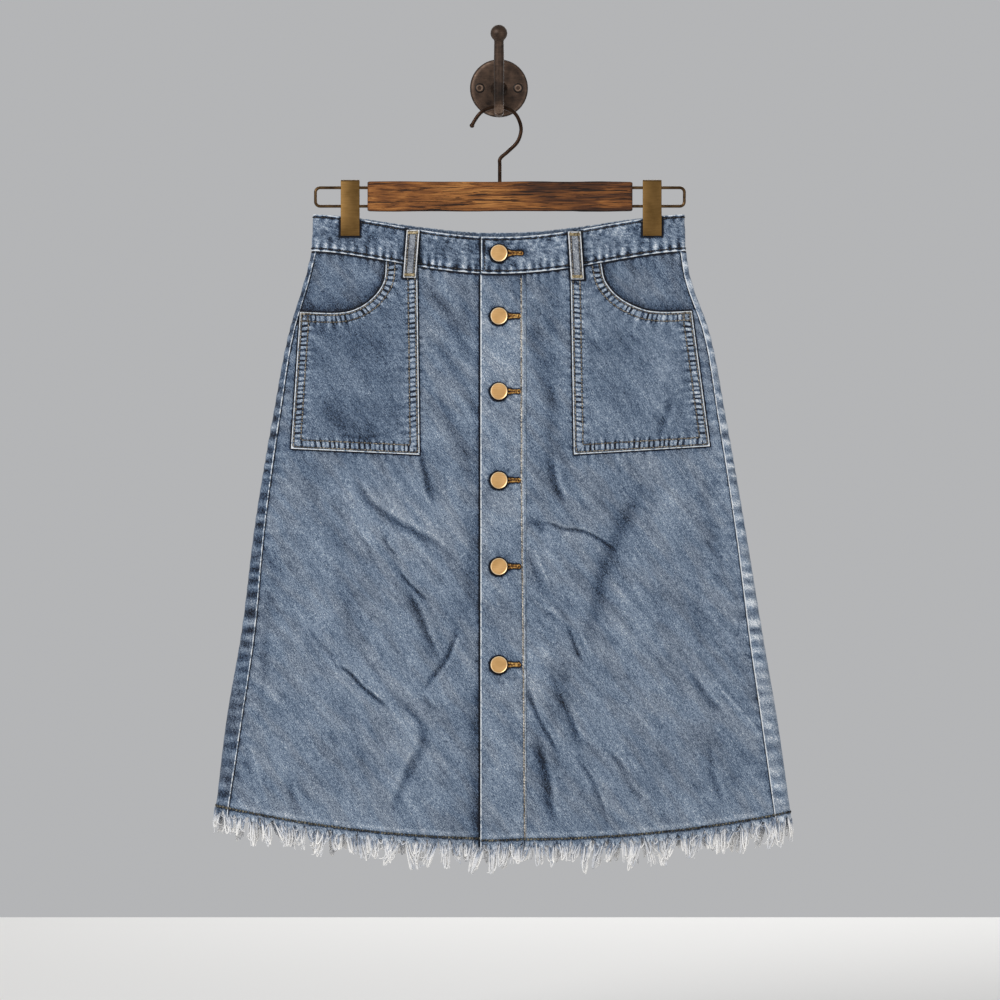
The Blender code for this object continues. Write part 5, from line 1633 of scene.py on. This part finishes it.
# %% Metal finishes
def metal_material(name, colours, roughness, patches, scale=160.0, metallic=1.0):
    """Metal in four tones, hollow, plain, worn and bright: patches, scratches and rim marks pick one."""
    material, tree, shader = new_material(name, Metallic=metallic)
    noise = solid_noise(tree, 4.0, scale)
    scratches = solid_noise(tree, 2.0, drawn_out={"Scale": (90.0, 90.0, 1500.0)})
    # The rim mark is painted light and shade, set on the buttons, the plate, the screws and the prong.
    value = noise * patches + (0.5 - patches / 2) + (scratches * 0.4 - 0.2) + mark_value(tree, "rim")
    give_colour(shader, value.ramp(tuple(zip((0.0, 0.3, 0.7, 1.0), colours))), noise, 0.25, 0.0004)
    tree.links.new((noise * 0.25 + (roughness - 0.12)).socket, shader.inputs["Roughness"])
    return material


satin_brass = metal_material(
    "satin_brass", ((44, 30, 14), (210, 161, 99), (236, 192, 136), (255, 238, 204)), 0.42, 0.4, 90.0)
aged_brass = metal_material(
    "aged_brass", ((34, 24, 12), (94, 70, 37), (130, 100, 60), (200, 172, 120)), 0.44, 0.4, 90.0)
bronze_wire = metal_material(
    "bronze_wire", ((26, 19, 13), (60, 44, 29), (112, 88, 60), (164, 138, 104)), 0.32, 0.7)
dark_bronze = metal_material(
    "dark_bronze", ((14, 10, 9), (30, 21, 17), (66, 49, 38), (128, 104, 86)), 0.3, 0.7)
cast_iron = metal_material(
    "cast_iron", ((14, 10, 8), (41, 29, 21), (82, 63, 50), (136, 114, 98)), 0.46, 0.9, 140.0, 0.6)


# %% Buttons
def turned(name, profile, steps, material, origin, direction):
    """Rows of radius, height and rim mark turned round an axis, from the front's middle to the end behind."""
    radius, level, rim = np.asarray(profile, float).T
    axis = unit(np.asarray(direction, float))
    across = unit(np.cross(axis, [0.0, 0.0, 1.0] if abs(axis[2]) < 0.9 else [1.0, 0.0, 0.0]))
    spoke = spokes(across, np.cross(axis, across), steps)
    middles = np.asarray(origin) + level[:, None] * axis
    rings = middles[1:-1, None] + radius[1:-1, None, None] * spoke
    points = np.vstack([middles[:1], rings.reshape(-1, 3), middles[-1:]])
    thing = new_mesh_object(name, points, ring_faces(len(rings), steps), (material,), 55.0)
    # The rim mark paints light and shade: painted highlights and painted shade set in each profile.
    keep_mark(thing, "rim", on_rings(rim, steps))
    return thing


BUTTON_CAP, BUTTON_LIFT, SHANK_RADIUS = 2.9, 0.45, 1.9


def button_profile(wall):
    """A slightly dished face, a bright rim, a dark side and underside, and a shank through the wall behind."""
    # The third numbers are rim marks: a painted highlight on the rim, painted shade on the side and underside.
    r, back, top = BUTTON_RADIUS, BUTTON_LIFT, BUTTON_LIFT + BUTTON_CAP
    face = [(0.0, top - 0.42, 0.0), (r * 0.45, top - 0.40, 0.0), (r * 0.80, top - 0.34, 0.0)]
    rim = [(r * 0.865, top - 0.30, -0.08), (r * 0.895, top - 0.05, 0.4), (r * 0.935, top, 0.45)]
    side = [(r * 0.965, top - 0.3, 0.0), (r * 0.99, top - 0.8, -0.9), (r * 1.05, top - 1.5, -0.9)]
    under = [(r * 1.03, top - 1.9, -0.9), (r * 0.95, back + 0.4, -0.9), (r * 0.8, back, -0.9)]
    shank = [(SHANK_RADIUS, back, -0.4), (SHANK_RADIUS, -wall, -0.2), (0.0, -wall, -0.2)]
    return face + rim + side + under + shank


def outward_at(z, lift):
    """The front's outer point on the button line and its outward direction, from two short steps over the form."""
    here = front_point(BUTTON_X, z, lift)
    right = front_point(BUTTON_X + 4.0, z, lift) - here
    up = front_point(BUTTON_X, z + 4.0, lift) - here
    return here, unit(np.cross(right, up))


for number, z in enumerate(BUTTON_Z, start=1):
    if number == 1:
        here, normal = waistband_point(np.array(BUTTON_X), 0.55, "front"), np.array([0.0, -1.0, 0.0])
        here[2] = z
    else:
        here, normal = outward_at(z, PROUD)
    wall = WAISTBAND_WALL if number == 1 else PLACKET_WALL
    button = turned(f"brass_button_{number}", button_profile(wall), 64, satin_brass, here, normal)
    finish_piece(button, "brass", f"button_{number}")

# %% [markdown]
# ## The frayed hem
# Below its sewn row the hem is left raw and washed until it frays: the blue warp washes pale, the cross threads
# fall out, and what is left gathers into curled tufts about 12 mm wide. Hair particles could grow there, but they
# give no mesh and are hard to gather. Instead every strand is one path of a few points. Some start on the face
# of the cloth, most at its worn edge. Free strands narrow to a neck and curl below it, and others form loops.

# %% Fringe strands
FRINGE_LENGTH = 35.0
STRAND_STATIONS, STRAND_SIDES = 15, 4
LOOP_SHARE, BRIDGE_SHARE, SURFACE_SHARE = 0.5, 0.08, 0.35


def strand_paths(edge, outward, tab_run, strands_per_tuft, seed):
    """Strands of each tuft: free ones narrow to a neck and curl, looped ones go down and come back up."""
    spread = np.random.default_rng(seed)
    lengths = run_lengths(edge)
    tabs = tab_count(tab_run)
    tufts = np.arange(math.floor(tabs[0]), math.floor(tabs[-1]) + 1)
    tuft = np.repeat(np.arange(len(tufts)), strands_per_tuft)
    each, each_tuft = (len(tuft), 1), (len(tufts), 1)
    centre = np.interp(tufts + 0.5, tabs, lengths)[tuft, None]
    tuft_length = spread.uniform(0.55, 1.0, each_tuft)[tuft]
    tuft_lean = spread.normal(0, 0.2, each_tuft)[tuft]
    tuft_neck = spread.uniform(0.15, 0.75, each_tuft)[tuft]
    tuft_out = spread.uniform(-1.5, 2.0, each_tuft)[tuft]
    kind = spread.uniform(0, 1, each)
    looped, bridging = kind < LOOP_SHARE, kind > 1 - BRIDGE_SHARE
    arched = looped | bridging
    start = np.where(bridging, 0.36, spread.uniform(-0.46, 0.46, each)) * TUFT_PITCH
    gap = spread.uniform(1.4, 5.5, each)
    finish = np.where(bridging, 0.72 * TUFT_PITCH, start - np.sign(start) * gap)
    reach = FRINGE_LENGTH * (tuft_length * spread.uniform(0.35, 1.0, each) ** 0.8)
    reach = reach * np.where(bridging, 0.25, np.where(looped, 0.85, 1.0))
    curl, waves = spread.gamma(2.0, 0.5, each), spread.uniform(0.5, 1.2, each)
    phase, hook = spread.uniform(0, 2 * math.pi, each), spread.normal(0, 2.6, each)
    fan = spread.normal(0, 2.0, each)
    t = np.linspace(0, 1, STRAND_STATIONS)[None, :]
    hooked = np.maximum((t - 0.72) / 0.28, 0.0) ** 2
    necked = start * (1 - tuft_neck * ease(t / 0.5)) + fan * ease((t - 0.4) / 0.6)
    sideways = np.where(arched, start + (finish - start) * ease(t), necked)
    down = np.where(arched, reach * np.sin(math.pi * t) ** 0.75, reach * (t - 0.2 * hooked))
    wave, calm = 2 * math.pi * waves * t, 1 - 0.5 * arched
    swing = curl * (np.sin(wave + phase) - np.sin(phase)) * np.minimum(2 * t, 1) * calm
    run = centre + sideways + tuft_lean * down + swing + hook * hooked * ~arched
    on_surface = spread.uniform(0, 1, each) < SURFACE_SHARE
    root = tab_rise(np.interp(centre + start, lengths, tab_run))
    root = root + np.where(on_surface, spread.uniform(0.2, 2.4, each), 0.6)
    layer = np.where(on_surface, 0.5, spread.uniform(-1.0, -0.1, each))
    out = layer + (tuft_out + spread.normal(0, 1.1, each)) * np.minimum(down / 10.0, 1.0)
    out = out + 0.5 * curl * np.cos(wave + 1.7 * phase) * t * calm
    base, direction = sewing_places(edge, outward, run)
    overhang = np.maximum(run - lengths[-1], 0) + np.minimum(run, 0)
    beyond = at_run(edge, run, unit(np.gradient(edge, axis=0)))
    paths = base + beyond * overhang[..., None] + direction * out[..., None]
    paths[..., 2] += root * (1 - t) ** 3 - down
    radii = spread.uniform(0.36, 0.74, each) * np.where(arched, 1.0, 1 - 0.4 * t**2)
    # Paler further down: darker and bluer near the cloth, partly the dyed warp and partly painted shade.
    paleness = spread.uniform(0, 1, each) * 0.6 - 0.06 + 0.5 * np.minimum(down / 14.0, 1.0)
    return paths, radii, paleness


def fringe_material():
    """Cotton yarn: blue where it leaves the cloth, partly painted shade, nearly white below, and uneven strand to
    strand.
    """
    settings = {"Roughness": 0.9, "Specular_IOR_Level": 0.2, "Sheen_Weight": 0.2}
    material, tree, shader = new_material("cotton_fringe", **settings)
    value = solid_noise(tree, 2.0, 260.0) * 0.5 + (mark_value(tree, "strand") - 0.17)
    stops = ((0.0, (72, 88, 112)), (0.3, (140, 153, 172)), (0.58, (216, 217, 220)), (1.0, (250, 248, 245)))
    give_colour(shader, value.ramp(stops))
    return material


cotton_fringe = fringe_material()


def fringe_piece(stretch, edge, outward, tab_run, strands_per_tuft, seed):
    """All strands of one stretch of the hem, joined."""
    paths, radii, paleness = strand_paths(edge, outward, tab_run, strands_per_tuft, seed)
    points, faces = tubes(paths, radii, STRAND_SIDES)
    thing = new_mesh_object(f"fringe_threads_{stretch}", points, faces, (cotton_fringe,), 180.0)
    keep_mark(thing, "strand", on_rings(paleness, STRAND_SIDES))
    print(f"{len(paths)} strands over {run_lengths(edge)[-1]:.0f} mm")
    return finish_piece(thing, "frayed_thread", f"fringe_{stretch}")


seam_left_hem, seam_right_hem = (float(value) for value in seam_x(1.0))
x = np.linspace(seam_left_hem, PLACKET_X[0] - PARTING, 90)
edge = cloth_point(x, 1.0, "front")
edge[:, 1] += underlap_sink(x, PLACKET_WALL + PARTING - PROUD) - fine_front(edge[:, 0], edge[:, 2])
fringe_right = fringe_piece("front_right", edge, FRONT_OUT, x, 15, 3)
x = np.linspace(PLACKET_X[0], seam_right_hem - PARTING, 110)
edge = cloth_point(x, 1.0, "front", PROUD)
edge[:, 1] += PROUD * ease((x - PLACKET_X[1]) / 10.0) - fine_front(edge[:, 0], edge[:, 2])
edge[:, 2] -= PLACKET_HEM_DROP * np.maximum(1 - placket_share(x), 0)
fringe_left = fringe_piece("front_left", edge, FRONT_OUT, x, 15, 5)
edge = back_grid(np.array([[1.0]]), 160)[0]
forward = unit(np.gradient(edge, axis=0))
outward = unit(np.stack([forward[:, 1], -forward[:, 0], 0 * forward[:, 0]], axis=-1))
hem_run = run_lengths(edge)
fringe_behind = fringe_piece("back", edge, outward, hem_run, 11, 7)

# %% [markdown]
# ## The sheets' sizes
# The size that each sheet was cut to follows from the same sizes as the shapes, so it is worked out here, and the
# sizes of all but the pockets are printed. A tube's stretch is given for the piece that shows.

# %% Sheets
SCOOPED = 0.86  # the share of a pocket's rectangle that its scooped opening leaves
panel_length = HEM_DROP + HEM_SAG_FRONT - WAIST_SAG_FRONT
right_widths = (UNDERLAP_END_X - seam_x(0.0)[0], UNDERLAP_END_X - seam_left_hem)
left_widths = (seam_x(0.0)[1] - inner_edge, seam_right_hem - inner_edge)
back_widths = (float(round_mm[0, -1]) * 0.485, float(hem_run[-1]))


def declare(piece, widths, length):
    """A flared panel: its widest and its length, with the area of the flare between its two widths."""
    area = (widths[0] + widths[1]) / 2 * length * MM * MM
    max(widths) * MM
    print(f"{piece.name}: {max(widths):.0f} x {length:.0f} mm, {area:.3f} m2")


declare(front_right, right_widths, panel_length)
declare(front_left, left_widths, panel_length)
declare(placket, (PLACKET_X[1] - PLACKET_X[0],) * 2, panel_length)
declare(back, back_widths, HEM_DROP)
declare(waistband, (WAISTBAND_HEIGHT,) * 2, total_round)
for name, pocket in POCKETS.items():
    width = abs(pocket["outer_bottom"][0] - pocket["inner_bottom"][0])
    length = abs(pocket["inner_top"][1] - pocket["inner_bottom"][1])
    width * MM
    length * MM
    width * length * SCOOPED * MM * MM

# %% [markdown]
# ## The hanger
# The hanger is a rough wooden bar with a wire loop let into each end, a wire hook, and two clips that are each one
# bent brass strip. Wood grain is mostly colour, but this bar is so coarse that its grooves and wavy edges show, so
# it is a fine grid wrapped round a rounded rectangle, with the grooves pressed into it. The wires are tubes along
# the same paths as their solids.

# %% Closed lofts
def loft(name, rings, material, sharp_angle=50.0):
    """A closed skin through a row of rings, with a flat face on the first and the last."""
    index = np.arange(rings.size // 3).reshape(rings.shape[:2])
    after = np.roll(index, -1, axis=1)
    quads = np.stack([index[:-1], after[:-1], after[1:], index[1:]], -1).reshape(-1, 4)
    mesh = bpy.data.meshes.new(name)
    faces = quads.tolist() + [index[0, ::-1].tolist(), index[-1].tolist()]
    mesh.from_pydata((rings.reshape(-1, 3) * MM).tolist(), [], faces)
    edit = bmesh.new()
    edit.from_mesh(mesh)
    bmesh.ops.recalc_face_normals(edit, faces=edit.faces)
    edit.to_mesh(mesh)
    edit.free()
    return smooth_object(mesh, (material,), sharp_angle)


def wood_material():
    """Dark weathered wood: long fibres, darker cracks and brown clouds, all drawn out along the bar."""
    material, tree, shader = new_material("dark_wood", Roughness=0.72, Specular_IOR_Level=0.35)

    def fibre(along_mm, across_mm, detail, shift):
        """Noise with features so long and so thick."""
        scale = (1 / (along_mm * MM), 1 / (across_mm * MM), 1 / (across_mm * MM))
        drawn_out = {"Location": (shift, 0, shift), "Scale": scale}
        return solid_noise(tree, detail, drawn_out=drawn_out, Roughness=0.62, Distortion=0.6)

    fibres, clouds = fibre(26.0, 0.9, 5.0, 3.0), fibre(55.0, 8.0, 2.0, 8.0)
    long_cracks, short_cracks = fibre(56.0, 1.5, 3.0, 15.0), fibre(22.0, 1.0, 2.0, 21.0)
    cracks = long_cracks.fade(0.375, 0.415).calc("MAXIMUM", short_cracks.fade(0.32, 0.36))
    value = fibres * 1.2 + (clouds * 1.2 - 0.72) - cracks * 0.5 + mark_value(tree, "rim")
    stops = ((0.08, (28, 13, 5)), (0.35, (80, 43, 14)), (0.6, (132, 80, 33)), (0.9, (180, 122, 62)))
    give_colour(shader, value.ramp(stops), fibres - cracks * 0.8, 0.8, 0.0012)
    return material


HANGER_BAR_X, HANGER_BAR_Z, HANGER_BAR_DEPTH = (-128.4, 130.4), (-122.4, -93.6), 10.0
BAR_CORNER, BAR_STATIONS = 1.3, 230


def rounded_rectangle(width, tall, corner, per_side, per_corner):
    """Points once round a rectangle with quarter circles at its corners, counterclockwise."""
    points = []
    for number, (sx, sz) in enumerate(((1, -1), (1, 1), (-1, 1), (-1, -1))):
        turn = np.linspace(0, math.pi / 2, per_corner) + (number - 1) * math.pi / 2
        centre = np.array([sx * (width / 2 - corner), sz * (tall / 2 - corner)])
        points.append(centre + corner * np.stack([np.cos(turn), np.sin(turn)], -1))
    ring = np.vstack(points + [points[0][:1]])
    lengths = run_lengths(ring)
    even = np.linspace(0, lengths[-1], per_side * 4, endpoint=False)
    return at_run(ring, np.unique(np.concatenate([lengths[:-1], even])))


section = rounded_rectangle(HANGER_BAR_DEPTH, HANGER_BAR_Z[1] - HANGER_BAR_Z[0], BAR_CORNER, 24, 4)
station = np.linspace(*HANGER_BAR_X, BAR_STATIONS)
ring_share = run_lengths(section) / run_lengths(section)[-1]
station_grid, share_grid = np.meshgrid(station, ring_share, indexing="ij")
groove = value_noise(station_grid / 21.0, share_grid * 46, 201) * 0.14
groove = groove + value_noise(station_grid / 9.0, share_grid * 70, 202) * 0.09
outward_section = unit(section)
end_round = np.minimum(station_grid - HANGER_BAR_X[0], HANGER_BAR_X[1] - station_grid)
shrink = 0.9 * (1 - ease(end_round / 1.6))
section_y, section_z = section.T
wave = 0.35 * value_noise(station_grid / 33.0, np.sign(section_z) * 3.0 + 0 * station_grid, 203)
ring_y = section_y + outward_section[:, 0] * (groove - shrink)
ring_z = section_z + outward_section[:, 1] * (groove - shrink + wave)
bar_rings = np.stack([station_grid, MIDDLE_Y + ring_y, sum(HANGER_BAR_Z) / 2 + ring_z], axis=-1)
bar = loft("wooden_bar", bar_rings, wood_material())
near_edge = (HANGER_BAR_Z[1] - HANGER_BAR_Z[0]) / 2 - np.abs(section_z)
# Painted shade along the bar's edges, deepest on the lower one, and at its ends. The bar also darkens to the right
# and has a stain.
edge_shade = np.where(section_z < 0, -0.32, -0.2) * np.exp(-near_edge / 0.9) - 0.2 * np.exp(-end_round / 1.0)
darker_right = 0.08 - 0.2 * ease((station_grid + 10.0) / 60.0)
stain = -0.16 * np.exp(-(((station_grid - 46.0) / 22.0) ** 2) - ((section_z - 8.0) / 6.0) ** 2)
keep_mark(bar, "rim", edge_shade + darker_right + stain)
finish_piece(bar, "dark_wood", "hanger_bar")


# %% Wires and hook
def rod(name, path, radii, steps, material):
    """A round rod: rings carried along the path, each square to it, closed by a pole at both ends."""
    paths = np.asarray(path, float)[None]
    points, faces = tubes(paths, np.broadcast_to(radii, (1, paths.shape[1])), steps)
    return new_mesh_object(name, points, faces, (material,), 60.0)


WIRE_RADIUS, WIRE_CORNER, HOOK_RADIUS, SOCKET_DEPTH = 1.1, 4.5, 1.85, 7.0
WIRE_Z, WIRE_END_X = (-117.5, -99.4), (-179.3, 181.2)
corner = WIRE_CORNER * np.sin(np.linspace(0, math.pi / 2, 10))
for hand, end, name in ((-1, 0, "hanger_wire_right"), (1, 1, "hanger_wire_left")):
    start = HANGER_BAR_X[end] - hand * (SOCKET_DEPTH - 1.0)
    corner_x = WIRE_END_X[end] - hand * WIRE_CORNER
    lead = start + (corner_x - start) * np.linspace(0, 0.96, 12)
    upper = [corner_x + hand * corner, WIRE_Z[1] - WIRE_CORNER + corner[::-1]]
    lower = [corner_x + hand * corner[::-1], WIRE_Z[0] + WIRE_CORNER - corner]
    top_run, low_run = [lead, np.full(12, WIRE_Z[1])], [lead[::-1], np.full(12, WIRE_Z[0])]
    x, z = np.hstack([top_run, upper, lower, low_run])
    path = np.stack([x, np.full(len(x), MIDDLE_Y), z], axis=-1)
    finish_piece(rod(f"{name}_bronze", path, WIRE_RADIUS + 0.4, 14, bronze_wire), "bronze_wire", name)

x, z = curve_through(
    ((0.8, -99.6), (0.8, -78.0), (1.4, -70.8), (9.0, -63.8), (18.4, -54.0), (21.6, -41.0), (16.4, -27.6),
     (6.0, -21.2), (-2.0, -20.2), (-10.3, -21.9), (-17.8, -26.0), (-23.4, -33.2), (-27.5, -40.8)), 9).T
path = np.stack([x, np.full(len(x), MIDDLE_Y), z], axis=-1)
from_tip = run_lengths(path)[-1] - run_lengths(path)
bulb = 2.45 * np.sqrt(np.clip(1 - ((from_tip - 2.4) / 2.5) ** 2, 0.05, 1))
radii = np.where(from_tip < 4.4, np.maximum(bulb, np.where(from_tip > 2.4, HOOK_RADIUS, 0)), HOOK_RADIUS)
finish_piece(rod("hanger_hook_bronze", path, radii[None], 18, dark_bronze), "bronze_wire", "hanger_hook")


# %% Clips
def softened_copy(node, name, width, material):
    """A copy of a solid with its points merged and its edges rounded by a narrow bevel."""
    mesh = bpy.data.objects[node].data.copy()
    mesh.name = name
    edit = bmesh.new()
    edit.from_mesh(mesh)
    bmesh.ops.remove_doubles(edit, verts=edit.verts, dist=0.00001)
    bmesh.ops.dissolve_limit(edit, angle_limit=math.radians(1), verts=edit.verts, edges=edit.edges)
    sharp = [e for e in edit.edges if e.is_manifold and e.calc_face_angle(0) > math.radians(35)]
    bmesh.ops.bevel(edit, geom=sharp, offset=width * MM, segments=3, profile=0.5, affect="EDGES")
    edit.to_mesh(mesh)
    edit.free()
    mesh.materials.clear()
    return smooth_object(mesh, (material,), 40.0)


for node in ("hanger_clip_right", "hanger_clip_left"):
    finish_piece(softened_copy(node, f"{node}_brass", 0.45, aged_brass), "aged_brass", node)

# %% [markdown]
# ## The wall hook
# A cast hook: a round plate with two screws, and a prong that dips into a saddle for the hanger and rises to a
# ball. The prong is one rod whose radius swells into the ball at its end, so nothing has to be joined. The plate
# and screws are turned. Cast iron is dull and slightly pitted. Marks paint light and shade on it: a painted
# highlight on the plate's rim, the screw heads and the prong's saddle, and painted shade round the screws and
# above the saddle.

# %% Plate, screws and prong
PLATE_RADIUS, PLATE_THICKNESS, SCREW_X = 28.5, 5.0, 18.8
r, t = PLATE_RADIUS, PLATE_THICKNESS
# The third column paints light and shade: a painted highlight on the rim's roll, painted shade on its outer edge
# and back.
plate_profile = [
    (0.0, t, 0.0), (9.0, t, 0.0), (18.0, t, 0.0), (r - 4.6, t, 0.0), (r - 3.0, t - 0.2, 0.1),
    (r - 1.9, t - 0.6, 0.25), (r - 0.9, t - 1.3, 0.1), (r - 0.2, t - 2.2, -0.3), (r, t - 2.8, -0.5),
    (r, 0.4, -0.5), (r - 0.4, 0.0, -0.5), (0.0, 0.0, -0.2)]
plate = turned("iron_plate", plate_profile, 96, cast_iron, (0, 0, 0), (0, -1, 0))
finish_piece(plate, "cast_iron", "wall_hook_plate")
# The third column paints light and shade: painted shade in the slot and round the head, a painted highlight on its
# dome.
screw_profile = [
    (0.0, t - 0.6, -0.7), (1.2, t - 0.6, -0.7), (1.5, t + 0.3, -0.1), (2.0, t + 0.6, 0.3), (2.9, t + 0.7, 0.35),
    (3.5, t + 0.5, 0.0), (3.9, t + 0.15, -0.6), (4.8, t + 0.08, -0.6), (4.8, t - 0.1, -0.6), (2.0, t - 2.7, -0.6),
    (2.0, 0.3, -0.2), (0.0, 0.3, -0.2)]
for name, x in (("wall_screw_right", -SCREW_X), ("wall_screw_left", SCREW_X)):
    screw = turned(f"{name}_iron", screw_profile, 40, cast_iron, (x, 0, 0), (0, -1, 0))
    finish_piece(screw, "cast_iron", name)

PRONG_BALL_RADIUS, PRONG_BALL = 8.25, (-58.0, 49.5)
prong_stations = np.array([
    (-PLATE_THICKNESS - 2.5, -1.0, 6.8),
    (-13.0, -6.5, 5.6),
    (-22.0, -20.0, 4.6),
    (-32.0, -26.4, 4.4),
    (-42.0, -23.0, 4.8),
    (-48.5, -11.0, 4.6),
    (-51.5, 6.0, 4.9),
    (-54.0, 26.0, 4.9),
    (-57.0, 44.0, 4.6),
])
root = np.array([(-PLATE_THICKNESS - PARTING, -1.0, 0.0), (-PLATE_THICKNESS - PARTING - 0.01, -1.0, 8.2),
                 (-PLATE_THICKNESS - 1.2, -1.0, 7.4)])
path = np.vstack([root, curve_through(prong_stations, 7)])
arc = np.linspace(0.21 * math.pi, math.pi, 22)
lift_direction = unit(np.array([-3.5, 20.0]))
ball_line = np.array(PRONG_BALL) - lift_direction * (PRONG_BALL_RADIUS * np.cos(arc))[:, None]
ball = np.hstack([ball_line, (PRONG_BALL_RADIUS * np.sin(arc))[:, None]])
path = np.vstack([path[path[:, 1] < ball[0, 1] - 0.5], ball])
points = np.stack([np.zeros(len(path)), path[:, 0], path[:, 1]], axis=-1)
PRONG_STEPS = 28
prong = rod("iron_prong", points, path[None, :, 2], PRONG_STEPS, cast_iron)
saddle = (path[:, 0] < -24) & (path[:, 1] < 0)  # a painted highlight where hangers hang, and painted shade above it
wear_and_painted_light = 0.45 * saddle * np.exp(-(((path[:, 1] + 21.0) / 4.0) ** 2))
wear_and_painted_light = wear_and_painted_light - 0.3 * np.exp(-(((path[:, 1] + 8.0) / 9.0) ** 2))
keep_mark(prong, "rim", on_rings(wear_and_painted_light, PRONG_STEPS))
finish_piece(prong, "cast_iron", "wall_hook_prong")

# %% [markdown]
# ## Sizes at the end
# The last cell prints how far the dressed model's corners lie from the imported model's, so the two can be
# compared, and how many triangles are shown.

# %% Sizes and finish
visual_box = [list(corner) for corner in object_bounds()]
grown = [round(1000 * (b - a), 1) for a, b in zip(cad_box[0] + cad_box[1], visual_box[0] + visual_box[1])]
print("the dressed model's corners moved by, in mm:", grown)
shown = [thing for thing in bpy.data.objects if thing.type == "MESH" and not thing.hide_render]
print("triangles shown:", sum(map(triangles_of, shown)))
